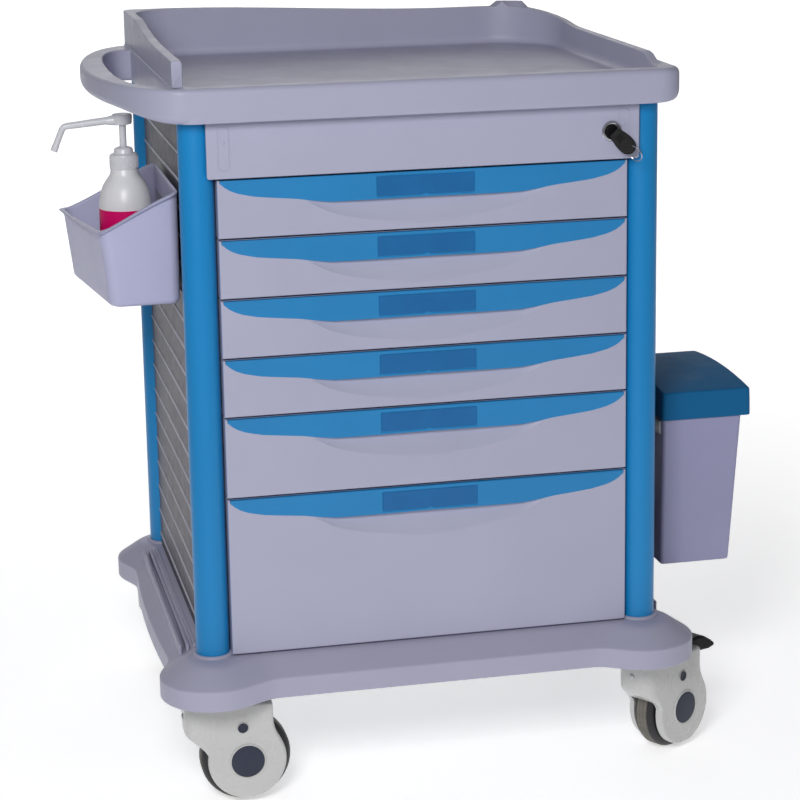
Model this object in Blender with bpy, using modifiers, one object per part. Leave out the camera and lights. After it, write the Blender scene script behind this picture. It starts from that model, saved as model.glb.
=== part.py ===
"""Six-drawer ward trolley on four swivel casters, with a hanging bin, a pump bottle and a waste bin.

Metres, +Z up.  The trolley is drawn with its drawer fronts on the plane y = 0, the viewer at -Y,
its middle on x = 0 and the floor at z = 0.  An empty then moves it all, so that the model's origin
is the middle of the footprint of its bounding box, on the floor.
"""
import math

import bmesh
import bpy
from mathutils import Matrix, Vector

# ---------------------------------------------------------------- driving dimensions
GAP = 0.0003                      # clearance between touching pieces

FLOOR_TO_BASE = 0.142             # caster height
BASE_CREASE_Z = 0.170             # top of the base's upright wall
BASE_TOP_Z = 0.190
BODY_HEIGHT = 0.6555              # columns, between the base and the top
TOP_Z = BASE_TOP_Z + BODY_HEIGHT  # underside of the top
RIM_HEIGHT = 0.041
RIM_Z = TOP_Z + RIM_HEIGHT

# plan of the base: a slab with bowed sides and a round bumper at each corner
MID_Y = 0.2475                    # half way from the front columns to the rear ones
SLAB_HALF_X = 0.310
SLAB_BOW = 0.016
SLAB_HALF_Y = 0.2775
BUMPER_X = 0.271
BUMPER_DY = 0.2375
BUMPER_R = 0.067
BUMPER_BLEND = 0.018
BASE_SLOPE = 0.026                # width of the sloping band round the base's top
BASE_WALL = 0.0045
BASE_POINTS = 88

COLUMN_X = 0.271
COLUMN_Y = 0.018
COLUMN_REAR_Y = 0.485
COLUMN_R = 0.0205
COLUMN_WALL = 0.002

DRAWER_PITCHES = (0.072, 0.072, 0.072, 0.072, 0.100, 0.198)   # from the top drawer down
DRAWER_HALF_X = 0.2493
FRONT_GAP = 0.0025                # between one drawer front and the next
FRONT_THICK = 0.018
BOX_HALF_X = 0.2265
BOX_DEPTH = 0.400
BOX_WALL = 0.002
RUNNER_OUT = 0.0080               # a drawer's side flange, which slides on the rail
RUNNER_HIGH = 0.0060
RAIL_HIGH = 0.0060
RAIL_IN_X = 0.2290
POST_IN_X = 0.2420
POST_OUT_X = 0.2762
RACK_FRONT_Y = 0.045
RACK_BACK_Y = 0.455
POST_DEPTH = 0.015

PANEL_HEIGHT = 0.069
PANEL_HALF_X = 0.2615
PANEL_FRONT_Y = -0.0080
PANEL_BACK_Y = -0.0030

# the handle strip along the top of each drawer front
STRIP_THICK = 0.0055
STRIP_DROP = 0.024                # depth reached just inside the corner
STRIP_RISE = 0.016                # how fast it gets there
STRIP_EXTRA = 0.009               # the rest of the depth, towards the middle
STRIP_EXTRA_START = 0.050
STRIP_EXTRA_END = 0.160
FINGER_GAP = 0.005
FINGER_HALF_X = 0.105
SCOOP_HALF_X = 0.142
SCOOP_HIGH = 0.029
SCOOP_DEEP = 0.010

# top
RIM_FRONT_Y = -0.028
RIM_BACK_Y = 0.512
RIM_LEFT_X = -0.300
RIM_RIGHT_X = 0.3125
RIM_CORNER = 0.030
RIM_EDGE = 0.008
TRAY_DEEP = 0.020
TRAY_FLOOR = 0.0045
HANDLE_MID_Y = 0.221
HANDLE_HALF_Y = 0.249
HANDLE_OUT = 0.095
HANDLE_BAR = 0.033
HANDLE_THICK = 0.028
HANDLE_ROOT_X = -0.285
HOLE_X = -0.304
GUARD_X = 0.2915                  # centre line of the guard walls
GUARD_Y = 0.4990
GUARD_THICK = 0.012
GUARD_FRONT_LEFT_Y = -0.002
GUARD_FRONT_RIGHT_Y = 0.030
GUARD_LEFT_CORNER = 0.045
GUARD_RIGHT_CORNER = 0.100
GUARD_HIGH = 0.030
GUARD_POST = 0.043
GUARD_RIGHT = 0.012

# lock
LOCK_X = 0.2265
LOCK_Z = TOP_Z - 0.0335
LOCK_BODY_R = 0.0095
LOCK_FLANGE_R = 0.0125
PLUG_R = 0.0062
CAM_ARM = 0.0085
CAM_PIN_R = 0.0014
BAR_X = 0.2360
BAR_THICK = 0.0040
BAR_Y = (0.0240, 0.0360)
BAR_LIFT = 0.0120
KEY_DIRECTION = Vector((0.60, -0.42, -0.68)).normalized()
KEY_HEAD_LONG = 0.034
KEY_HEAD_WIDE = 0.021
KEY_HEAD_THICK = 0.0035
KEY_HOLE_R = 0.0032
KEY_HOLE_INSET = 0.0065
RING_R = 0.0105
RING_WIRE = 0.0006

# casters
CASTER_X = 0.283
CASTER_FRONT_Y = 0.018
CASTER_REAR_Y = 0.477
CASTER_TRAIL = 0.047
WHEEL_R = 0.056
WHEEL_WIDE = 0.030
WHEEL_CLEAR = 0.0025
AXLE_R = 0.0040
AXLE_CLEAR = 0.0003
FORK_WIDE = 0.054
FORK_TOP_Z = 0.1300
FORK_COVER_R = 0.048
STEM_R = 0.021
PEDAL_WIDE = 0.034
PEDAL_ROOT_WIDE = 0.022
CASTERS = (                       # name, side, y, turn about +Z from "trailing to +X", braked
    ("front_left", -1, CASTER_FRONT_Y, 0.0, False),
    ("front_right", 1, CASTER_FRONT_Y, 33.0, True),
    ("rear_left", -1, CASTER_REAR_Y, 8.0, True),
    ("rear_right", 1, CASTER_REAR_Y, 20.0, False),
)

# hanging bin on the left
BIN_X = (-0.392, -0.2890)
BIN_Y = (0.078, 0.305)
BIN_Z = 0.613
BIN_OUTER_HIGH = 0.087
BIN_INNER_HIGH = 0.138
BIN_TAPER = 0.010
BIN_WALL = 0.0025
BIN_LIP = 0.0050

# pump bottle standing in it
BOTTLE_X = -0.3410
BOTTLE_Y = 0.1450
BOTTLE_R = 0.0320
BOTTLE_WALL = 0.0015
NECK_TOP = 0.161                  # the neck's height above the bottle's foot
PUMP_TRAVEL = 0.016
SPOUT_REACH = 0.068

# waste bin on the right
WASTE_X = (0.331, 0.4325)
WASTE_Y = (0.094, 0.300)
WASTE_Z = 0.2225
WASTE_RIM_Z = 0.419
WASTE_TAPER = 0.012
WASTE_WALL = 0.0025
LID_SKIRT = 0.0045                # how far the lid stands proud of the bin
LID_FAR_SKIRT = 0.0135            # and on the side away from the trolley
LID_HIGH = 0.041
LID_WALL = 0.0025
LID_PIN_X = 0.3225
LID_PIN_Z = 0.4225
LID_PIN_R = 0.0020

PANEL_X = 0.2790                  # side panels: the face between the slats
SLAT_PITCH = 0.034
SLAT_PROUD = 0.0045
SIDE_THICK = 0.0025

# extents that set the origin: the pump's spout and the waste lid in x, the bumpers in y
SPOUT_R = 0.0042
SPOUT_DROP_X = 0.0155             # the down-turned tip's reach beyond the spout
SPOUT_TIP_EDGE = 0.0037           # and the slanting tip's own half width
LEFT_END = BOTTLE_X - SPOUT_REACH - SPOUT_DROP_X - SPOUT_TIP_EDGE
RIGHT_END = WASTE_X[1] + LID_FAR_SKIRT
FRONT_END = MID_Y - BUMPER_DY - BUMPER_R
BACK_END = MID_Y + BUMPER_DY + BUMPER_R
ORIGIN = Vector(((LEFT_END + RIGHT_END) / 2, (FRONT_END + BACK_END) / 2, 0.0))


# ---------------------------------------------------------------- scene helpers
def empty_scene():
    """Remove what the file holds, so that the script can be run again."""
    for obj in list(bpy.data.objects):
        bpy.data.objects.remove(obj, do_unlink=True)
    for group in list(bpy.data.collections):
        bpy.data.collections.remove(group)


def new_collection(name):
    group = bpy.data.collections.new(name)
    bpy.context.scene.collection.children.link(group)
    return group


def make_material(name, colour, roughness, metallic=0.0):
    mat = bpy.data.materials.new(name)
    mat.use_nodes = True
    shader = mat.node_tree.nodes["Principled BSDF"]
    shader.inputs["Base Color"].default_value = (*colour, 1.0)
    shader.inputs["Roughness"].default_value = roughness
    shader.inputs["Metallic"].default_value = metallic
    mat.diffuse_color = (*colour, 1.0)
    return mat


empty_scene()
PARTS = new_collection("ward_trolley")
CUTTERS = new_collection("cutters")

ROOT = bpy.data.objects.new("trolley_origin", None)
ROOT.location = -ORIGIN
PARTS.objects.link(ROOT)

LILAC = make_material("lilac_abs", (0.43, 0.44, 0.60), 0.35)
BLUE = make_material("blue_abs", (0.03, 0.24, 0.60), 0.35)
BLUE_METAL = make_material("blue_painted_metal", (0.03, 0.23, 0.60), 0.30)
SLATE = make_material("slate_panel", (0.16, 0.16, 0.17), 0.50)
STEEL = make_material("zinc_steel", (0.60, 0.60, 0.62), 0.35, 1.0)
BLACK = make_material("black_plastic", (0.02, 0.02, 0.025), 0.45)
FORK_GREY = make_material("fork_grey", (0.52, 0.53, 0.52), 0.35)
TYRE = make_material("tyre_rubber", (0.03, 0.03, 0.035), 0.60)
WHITE = make_material("white_plastic", (0.78, 0.78, 0.80), 0.35)
LID_BLUE = make_material("lid_blue", (0.02, 0.11, 0.30), 0.40)


def place(obj, material=None, location=(0, 0, 0), rotation=(0, 0, 0), parent=ROOT, group=PARTS):
    """Put an object in its collection, under its parent, with its material."""
    obj.location = location
    obj.rotation_euler = rotation
    obj.parent = parent
    group.objects.link(obj)
    if material is not None:
        obj.data.materials.append(material)
    return obj


def as_cutter(obj):
    """Hide an object that only cuts, or is joined to, another."""
    for group in list(obj.users_collection):
        group.objects.unlink(obj)
    CUTTERS.objects.link(obj)
    obj.hide_render = True
    obj.display_type = "WIRE"
    return obj


def boolean(obj, other, operation):
    modifier = obj.modifiers.new(operation.lower(), "BOOLEAN")
    modifier.operation = operation
    modifier.solver = "EXACT"
    modifier.object = as_cutter(other)
    return obj


def cut(obj, other):
    return boolean(obj, other, "DIFFERENCE")


def join(obj, other):
    return boolean(obj, other, "UNION")


def bevel(obj, width, segments=2, angle=40.0):
    modifier = obj.modifiers.new("edges", "BEVEL")
    modifier.width = width
    modifier.segments = segments
    modifier.limit_method = "ANGLE"
    modifier.angle_limit = math.radians(angle)
    return obj


def smooth(obj, angle=35.0):
    obj.data.shade_smooth()
    obj.data.set_sharp_from_angle(angle=math.radians(angle))
    return obj


def mesh_object(name, bm):
    bmesh.ops.recalc_face_normals(bm, faces=bm.faces)
    mesh = bpy.data.meshes.new(name)
    bm.to_mesh(mesh)
    bm.free()
    return bpy.data.objects.new(name, mesh)


# ---------------------------------------------------------------- shape helpers
def add_box(bm, low, high):
    """Add a box between two corners to a bmesh."""
    low, high = Vector(low), Vector(high)
    size = high - low
    matrix = Matrix.Translation((low + high) / 2) @ Matrix.Diagonal((*size, 1.0))
    bmesh.ops.create_cube(bm, size=1.0, matrix=matrix)


def boxes(name, *corners):
    """One object of boxes, each given by its low and high corner."""
    bm = bmesh.new()
    for low, high in corners:
        add_box(bm, low, high)
    return mesh_object(name, bm)


def cylinder(name, radius, start, end, segments=32, end_radius=None):
    """A cylinder or cone from one point to another."""
    start, end = Vector(start), Vector(end)
    axis = end - start
    turn = axis.to_track_quat("Z", "Y").to_matrix().to_4x4()
    bm = bmesh.new()
    bmesh.ops.create_cone(
        bm, cap_ends=True, segments=segments, radius1=radius,
        radius2=radius if end_radius is None else end_radius, depth=axis.length,
        matrix=Matrix.Translation((start + end) / 2) @ turn)
    return mesh_object(name, bm)


def turned(name, profile, steps=32, closed=False):
    """A turned shape about local Z.  The profile (r, z) runs down its outer side."""
    mesh = bpy.data.meshes.new(name)
    edges = [(i, i + 1) for i in range(len(profile) - 1)]
    if closed:
        edges.append((len(profile) - 1, 0))
    mesh.from_pydata([(r, 0.0, z) for r, z in profile], edges, [])
    obj = bpy.data.objects.new(name, mesh)
    screw = obj.modifiers.new("turn", "SCREW")
    screw.angle = 2 * math.pi
    screw.steps = steps
    screw.render_steps = steps
    screw.use_merge_vertices = True
    screw.merge_threshold = 0.00001
    screw.use_smooth_shade = True
    return obj


def filleted(corners, closed=True, step=22.5):
    """An outline through (x, y, radius) corners, each rounded by an arc of its own radius."""
    points = []
    count = len(corners)
    for i, (x, y, radius) in enumerate(corners):
        here = Vector((x, y))
        ends = not closed and i in (0, count - 1)
        if radius == 0 or ends:
            points.append((x, y))
            continue
        before = (Vector(corners[i - 1][:2]) - here).normalized()
        after = (Vector(corners[(i + 1) % count][:2]) - here).normalized()
        half = before.angle(after) / 2
        centre = here + (before + after).normalized() * (radius / math.sin(half))
        start = here + before * (radius / math.tan(half)) - centre
        sweep = math.pi - 2 * half
        if before.cross(after) > 0:
            sweep = -sweep
        pieces = max(2, math.ceil(abs(math.degrees(sweep)) / step))
        for k in range(pieces + 1):
            angle = sweep * k / pieces
            points.append((
                centre.x + start.x * math.cos(angle) - start.y * math.sin(angle),
                centre.y + start.x * math.sin(angle) + start.y * math.cos(angle)))
    return points


def plate(name, outline, thickness):
    """A flat plate in local XY, centred on z = 0, from a closed outline of (x, y) points."""
    bm = bmesh.new()
    face = bm.faces.new([bm.verts.new((x, y, -thickness / 2)) for x, y in outline])
    raised = bmesh.ops.extrude_face_region(bm, geom=[face])["geom"]
    for vert in (g for g in raised if isinstance(g, bmesh.types.BMVert)):
        vert.co.z = thickness / 2
    return mesh_object(name, bm)


def loft(name, rings):
    """A closed body through rings of equal length, with a flat cap on its first and last ring."""
    bm = bmesh.new()
    rows = [[bm.verts.new(point) for point in ring] for ring in rings]
    count = len(rows[0])
    for lower, upper in zip(rows, rows[1:]):
        for i in range(count):
            j = (i + 1) % count
            bm.faces.new((lower[i], lower[j], upper[j], upper[i]))
    bm.faces.new(list(reversed(rows[0])))
    bm.faces.new(rows[-1])
    return mesh_object(name, bm)


def open_tub(name, low, high, taper, lip, edge=0.010, segments=3):
    """A tapered tub, open at the top, with rounded edges and an outward lip: a single surface."""
    bm = bmesh.new()
    add_box(bm, low, high)
    top = [face for face in bm.faces if face.normal.z > 0.9]
    bmesh.ops.delete(bm, geom=top, context="FACES_ONLY")
    middle = Vector(((low[0] + high[0]) / 2, (low[1] + high[1]) / 2, 0.0))
    for vert in bm.verts:
        if vert.co.z < (low[2] + high[2]) / 2:
            vert.co.x += taper * (1 if vert.co.x < middle.x else -1)
            vert.co.y += taper * (1 if vert.co.y < middle.y else -1)
    inner = [e for e in bm.edges if not e.is_boundary]
    bmesh.ops.bevel(bm, geom=inner, offset=edge, segments=segments, profile=0.5, affect="EDGES")
    if lip:
        rim = [e for e in bm.edges if e.is_boundary]
        moved = bmesh.ops.extrude_edge_only(bm, edges=rim)["geom"]
        half_x = (high[0] - low[0]) / 2
        half_y = (high[1] - low[1]) / 2
        for vert in (g for g in moved if isinstance(g, bmesh.types.BMVert)):
            vert.co.x = middle.x + (vert.co.x - middle.x) * (1 + lip / half_x)
            vert.co.y = middle.y + (vert.co.y - middle.y) * (1 + lip / half_y)
    tub = mesh_object(name, bm)
    floor = min(tub.data.polygons, key=lambda face: face.center.z)
    if floor.normal.z > 0:
        tub.data.flip_normals()
    return tub


def solidify(obj, thickness, offset=-1.0):
    modifier = obj.modifiers.new("wall", "SOLIDIFY")
    modifier.thickness = thickness
    modifier.offset = offset
    modifier.use_even_offset = True
    return obj


def smoothstep(value, start, end):
    t = min(max((value - start) / (end - start), 0.0), 1.0)
    return t * t * (3 - 2 * t)


# ---------------------------------------------------------------- base
def base_distance(x, y):
    """Distance outside the base's outline (negative inside): a bowed slab blended into bumpers."""
    x, y = abs(x), abs(y - MID_Y)
    side = SLAB_HALF_X + SLAB_BOW * (1 - (y / SLAB_HALF_Y) ** 2)
    slab = max(x - side, y - SLAB_HALF_Y)
    bumper = math.hypot(x - BUMPER_X, y - BUMPER_DY) - BUMPER_R
    blend = max(BUMPER_BLEND - abs(slab - bumper), 0.0) / BUMPER_BLEND
    return min(slab, bumper) - blend * blend * BUMPER_BLEND / 4


def base_ring(inset, z):
    """Points of the base's outline, moved in by an inset.  They crowd together at the bumpers."""
    ring = []
    for i in range(BASE_POINTS):
        even = 2 * math.pi * i / BASE_POINTS
        angle = even + 0.15 * math.sin(4 * even)
        near, far = 0.05, 0.60
        for _ in range(40):
            middle = (near + far) / 2
            x, y = middle * math.cos(angle), MID_Y + middle * math.sin(angle)
            if base_distance(x, y) < -inset:
                near = middle
            else:
                far = middle
        ring.append((x, y, z))
    return ring


def make_base():
    edge = 0.003
    under = BASE_TOP_Z - BASE_WALL
    rings = [
        base_ring(BASE_SLOPE + BASE_WALL, under),
        base_ring(BASE_WALL, BASE_CREASE_Z - BASE_WALL),
        base_ring(BASE_WALL, FLOOR_TO_BASE),
        base_ring(0.0, FLOOR_TO_BASE),
        base_ring(0.0, BASE_CREASE_Z - edge),
        base_ring(edge, BASE_CREASE_Z),
        base_ring(BASE_SLOPE, BASE_TOP_Z),
    ]
    smooth(place(loft("base_moulding", rings), LILAC))

    level = FLOOR_TO_BASE + 0.008
    outline = [point[:2] for point in base_ring(BASE_WALL + 0.004, 0.0)]
    place(plate("base_plate", outline, 0.003), STEEL, location=(0, 0, level + 0.0015))


# ---------------------------------------------------------------- body
def make_columns():
    length = BODY_HEIGHT - 2 * GAP
    profile = [
        (COLUMN_R, length), (COLUMN_R, 0.0),
        (COLUMN_R - COLUMN_WALL, 0.0), (COLUMN_R - COLUMN_WALL, length)]
    for name, side, y in (
            ("column_front_left", -1, COLUMN_Y), ("column_front_right", 1, COLUMN_Y),
            ("column_rear_left", -1, COLUMN_REAR_Y), ("column_rear_right", 1, COLUMN_REAR_Y)):
        column = turned(name, profile, steps=28, closed=True)
        place(column, BLUE_METAL, location=(side * COLUMN_X, y, BASE_TOP_Z + GAP))


def make_side_panels():
    """Clapboard panels: each slat stands proud at its top and falls back to a ledge."""
    low, high = BASE_TOP_Z + GAP, TOP_Z - GAP
    outline = [(-SIDE_THICK, low), (0.0, low)]
    slats = int((high - low) / SLAT_PITCH)
    start = low + (high - low - slats * SLAT_PITCH) / 2
    for i in range(slats):
        z = start + i * SLAT_PITCH
        outline += [(0.0, z + 0.002), (SLAT_PROUD, z + SLAT_PITCH - 0.004), (0.0, z + SLAT_PITCH - 0.001)]
    outline += [(0.0, high), (-SIDE_THICK, high)]
    front, back = COLUMN_Y + COLUMN_R + 0.001, COLUMN_REAR_Y - COLUMN_R - 0.001
    for name, side in (("side_panel_left", -1), ("side_panel_right", 1)):
        profile = [(side * x, z) for x, z in outline]
        panel = plate(name, profile, back - front)
        place(panel, SLATE, location=(side * PANEL_X, (front + back) / 2, 0.0),
              rotation=(math.pi / 2, 0, 0))


def make_back_panel():
    y = COLUMN_REAR_Y
    half = COLUMN_X - COLUMN_R - 0.001
    panel = boxes("back_panel", ((-half, y, BASE_TOP_Z + GAP), (half, y + 0.003, TOP_Z - GAP)))
    place(panel, SLATE)


def drawer_levels():
    """Low and high z of each drawer front, from the top drawer down."""
    top = TOP_Z - PANEL_HEIGHT
    levels = []
    for pitch in DRAWER_PITCHES:
        levels.append((top - pitch + FRONT_GAP / 2, top - FRONT_GAP / 2))
        top -= pitch
    return levels


def runner_level(low, high):
    """Underside of a drawer's side flanges."""
    return low + 0.6 * (high - low) if high - low < 0.15 else low + 0.7 * (high - low)


def make_racks():
    """Fixed rails for the six drawers, one rack to a side, each with two posts."""
    for name, side in (("runner_rack_left", -1), ("runner_rack_right", 1)):
        posts = []
        for y in (RACK_FRONT_Y, RACK_BACK_Y - POST_DEPTH):
            xs = sorted((side * POST_IN_X, side * POST_OUT_X))
            posts.append(((xs[0], y, BASE_TOP_Z + 0.004), (xs[1], y + POST_DEPTH, TOP_Z - PANEL_HEIGHT)))
        rails = []
        for low, high in drawer_levels():
            top = runner_level(low, high) - GAP
            xs = sorted((side * RAIL_IN_X, side * (POST_IN_X + 0.004)))
            rails.append(((xs[0], RACK_FRONT_Y + 0.001, top - RAIL_HIGH),
                          (xs[1], RACK_BACK_Y - 0.001, top)))
        rack = boxes(name, *posts)
        join(place(rack, STEEL), place(boxes(name + "_rails", *rails)))


# ---------------------------------------------------------------- drawers
def strip_depth(x):
    """How far the handle strip hangs down at x."""
    inside = DRAWER_HALF_X - abs(x)
    drop = STRIP_DROP * (1 - math.exp(-inside / STRIP_RISE))
    return drop + STRIP_EXTRA * smoothstep(inside, STRIP_EXTRA_START, STRIP_EXTRA_END)


def strip_outline(half, grow, step_out=0.0):
    """The strip's outline below z = 0, grown by a clearance; step_out raises its top edge."""
    fractions = (0.004, 0.03, 0.06, 0.10, 0.15, 0.22, 0.32, 0.44, 0.56, 0.70)
    xs = [half * (1 - f) for f in fractions]
    lower = [(x, -strip_depth(x) - grow) for x in xs]
    lower += [(-x, z) for x, z in reversed(lower)]
    return [(-half, step_out), (-half, -0.0015 - grow)] + lower[::-1] + [
        (half, -0.0015 - grow), (half, step_out)]


def make_drawer(number, low, high):
    name = f"drawer_{number}"
    shallow = 0.0012              # the strip's clearance to the front

    # lilac fascia: cut away for the strip, with a finger gap and a scoop below it
    front = boxes(name + "_front", (
        (-DRAWER_HALF_X, 0.0, low), (DRAWER_HALF_X, FRONT_THICK, high)))
    place(front, LILAC)
    cutter = plate(name + "_strip_cut", strip_outline(DRAWER_HALF_X - 0.003, shallow, 0.01),
                   FRONT_THICK + 0.01)
    cut(front, place(cutter, location=(0, FRONT_THICK / 2, high), rotation=(math.pi / 2, 0, 0)))
    depth = STRIP_DROP + STRIP_EXTRA
    gap_box = boxes(name + "_finger_cut", (
        (-FINGER_HALF_X, -0.01, high - depth - FINGER_GAP),
        (FINGER_HALF_X, FRONT_THICK + 0.01, high - depth + 0.004)))
    cut(front, place(bevel(gap_box, 0.003, 2)))
    bm = bmesh.new()
    bmesh.ops.create_uvsphere(bm, u_segments=32, v_segments=14, radius=1.0)
    scoop = mesh_object(name + "_scoop", bm)
    scoop.scale = (SCOOP_HALF_X, SCOOP_DEEP, SCOOP_HIGH)
    cut(front, place(scoop, location=(0, 0, high - depth + 0.001)))

    # blue strip
    strip = plate(name + "_handle", strip_outline(DRAWER_HALF_X - 0.0045, 0.0), STRIP_THICK)
    place(strip, BLUE, location=(0, STRIP_THICK / 2 - 0.0005, high - 0.0005),
          rotation=(math.pi / 2, 0, 0))

    # tray behind them, with the flanges that run on the rails
    runner = runner_level(low, high)
    top = max(runner + RUNNER_HIGH + 0.002, high - 0.012)
    start = FRONT_THICK + GAP
    box = boxes(name + "_box", ((-BOX_HALF_X, start, low + 0.004), (BOX_HALF_X, start + BOX_DEPTH, top)))
    place(box, LILAC)
    inside = boxes(name + "_box_cut", (
        (-BOX_HALF_X + BOX_WALL, start + BOX_WALL, low + 0.004 + BOX_WALL),
        (BOX_HALF_X - BOX_WALL, start + BOX_DEPTH - BOX_WALL, top + 0.01)))
    cut(box, place(inside))
    flanges = []
    for side in (-1, 1):
        xs = sorted((side * (BOX_HALF_X - BOX_WALL / 2), side * (BOX_HALF_X + RUNNER_OUT)))
        flanges.append(((xs[0], RACK_FRONT_Y - 0.005, runner),
                        (xs[1], start + BOX_DEPTH - 0.010, runner + RUNNER_HIGH)))
    join(box, place(boxes(name + "_flanges", *flanges)))


def make_drawers():
    for number, (low, high) in enumerate(drawer_levels(), start=1):
        make_drawer(number, low, high)


# ---------------------------------------------------------------- top
def guard_height(x, y):
    """Height of the guard above the rim at a point of its centre line."""
    if x < -0.24:
        rise = smoothstep(y, 0.26, 0.35)
        return GUARD_HIGH + (GUARD_POST - GUARD_HIGH) * rise
    start = GUARD_X - GUARD_RIGHT_CORNER
    along = smoothstep(x + (GUARD_Y - y), start, start + 2.2 * GUARD_RIGHT_CORNER)
    height = GUARD_HIGH + (GUARD_RIGHT - GUARD_HIGH) * along
    return height * smoothstep(y, GUARD_FRONT_RIGHT_Y - 0.012, GUARD_FRONT_RIGHT_Y + 0.030)


def make_guard():
    """Wall round the left, the back and the right of the top, drawn as one loft along its path."""
    corners = [
        (-GUARD_X, GUARD_FRONT_LEFT_Y, 0), (-GUARD_X, 0.14, 0.0), (-GUARD_X, 0.26, 0.0),
        (-GUARD_X, 0.29, 0.0), (-GUARD_X, 0.32, 0.0), (-GUARD_X, 0.35, 0.0),
        (-GUARD_X, GUARD_Y, GUARD_LEFT_CORNER), (-0.2405, GUARD_Y, 0.0), (-0.2390, GUARD_Y, 0.0),
        (GUARD_X, GUARD_Y, GUARD_RIGHT_CORNER), (GUARD_X, 0.25, 0.0), (GUARD_X, 0.10, 0.0),
        (GUARD_X, 0.06, 0.0), (GUARD_X, 0.045, 0.0), (GUARD_X, GUARD_FRONT_RIGHT_Y, 0)]
    path = [Vector(p) for p in filleted(corners, closed=False)]
    foot = RIM_Z - 0.010
    rings = []
    for i, point in enumerate(path):
        ahead = (path[min(i + 1, len(path) - 1)] - path[max(i - 1, 0)]).normalized()
        out = Vector((-ahead.y, ahead.x)) * (GUARD_THICK / 2)
        top = RIM_Z + max(guard_height(point.x, point.y), 0.001)
        soft = Vector((-ahead.y, ahead.x)) * (GUARD_THICK / 2 - 0.002)
        edge = min(0.002, (top - RIM_Z) / 2)
        rings.append([
            (*(point - out), foot), (*(point + out), foot), (*(point + out), top - edge),
            (*(point + soft), top), (*(point - soft), top), (*(point - out), top - edge)])
    return loft("guard", rings)


def half_ellipse(root_x, mid_y, out, half_y, pieces=28):
    """The left half of an ellipse, closed by a straight edge at root_x."""
    points = []
    for i in range(pieces + 1):
        angle = math.pi / 2 + math.pi * i / pieces
        points.append((root_x + out * math.cos(angle), mid_y + half_y * math.sin(angle)))
    return points


def make_top():
    slab_outline = filleted([
        (RIM_LEFT_X, RIM_FRONT_Y, RIM_CORNER), (RIM_RIGHT_X, RIM_FRONT_Y, RIM_CORNER),
        (RIM_RIGHT_X, RIM_BACK_Y, RIM_CORNER), (RIM_LEFT_X, RIM_BACK_Y, RIM_CORNER)])
    top = place(plate("top_tray", slab_outline, RIM_HEIGHT), LILAC, location=(0, 0, TOP_Z + RIM_HEIGHT / 2))
    bevel(top, RIM_EDGE, 3)

    handle = plate("top_handle", half_ellipse(HANDLE_ROOT_X, HANDLE_MID_Y, HANDLE_OUT, HANDLE_HALF_Y),
                   HANDLE_THICK)
    bevel(handle, RIM_EDGE, 3)
    join(top, place(handle, location=(0, 0, RIM_Z - HANDLE_THICK / 2)))
    outline = half_ellipse(HOLE_X, HANDLE_MID_Y - 0.008,
                           HANDLE_OUT - HANDLE_BAR + (HOLE_X - HANDLE_ROOT_X), HANDLE_HALF_Y - 0.060)
    cut(top, place(plate("top_handle_hole", outline, 0.2), location=(0, 0, RIM_Z)))

    join(top, place(make_guard()))
    inner = GUARD_X - GUARD_THICK / 2
    well = plate("top_well", filleted([
        (-inner, RIM_FRONT_Y + 0.022, 0.020), (inner, RIM_FRONT_Y + 0.022, 0.020),
        (inner, GUARD_Y - GUARD_THICK / 2, GUARD_RIGHT_CORNER - GUARD_THICK / 2),
        (-inner, GUARD_Y - GUARD_THICK / 2, GUARD_LEFT_CORNER - GUARD_THICK / 2)]), 2 * TRAY_DEEP)
    cut(top, place(well, location=(0, 0, RIM_Z)))
    pocket_top = RIM_Z - TRAY_DEEP - TRAY_FLOOR
    pocket = boxes("top_pocket", ((-0.240, 0.000, TOP_Z - 0.01), (0.240, 0.455, pocket_top)))
    cut(top, place(pocket))
    socket = boxes("top_socket", ((0.2185, GUARD_Y - 0.0075, RIM_Z + 0.010),
                                  (0.2555, GUARD_Y + 0.0075, RIM_Z + GUARD_HIGH + 0.008)))
    join(top, place(socket))


def make_front_panel():
    low, high = TOP_Z - PANEL_HEIGHT + FRONT_GAP / 2, TOP_Z - GAP
    panel = boxes("front_top_panel", (
        (-PANEL_HALF_X, PANEL_FRONT_Y, low), (PANEL_HALF_X, PANEL_BACK_Y, high)))
    place(panel, LILAC)
    hole = cylinder("lock_hole", LOCK_BODY_R + GAP, (LOCK_X, -0.05, LOCK_Z), (LOCK_X, 0.05, LOCK_Z))
    cut(panel, place(hole))


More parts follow.
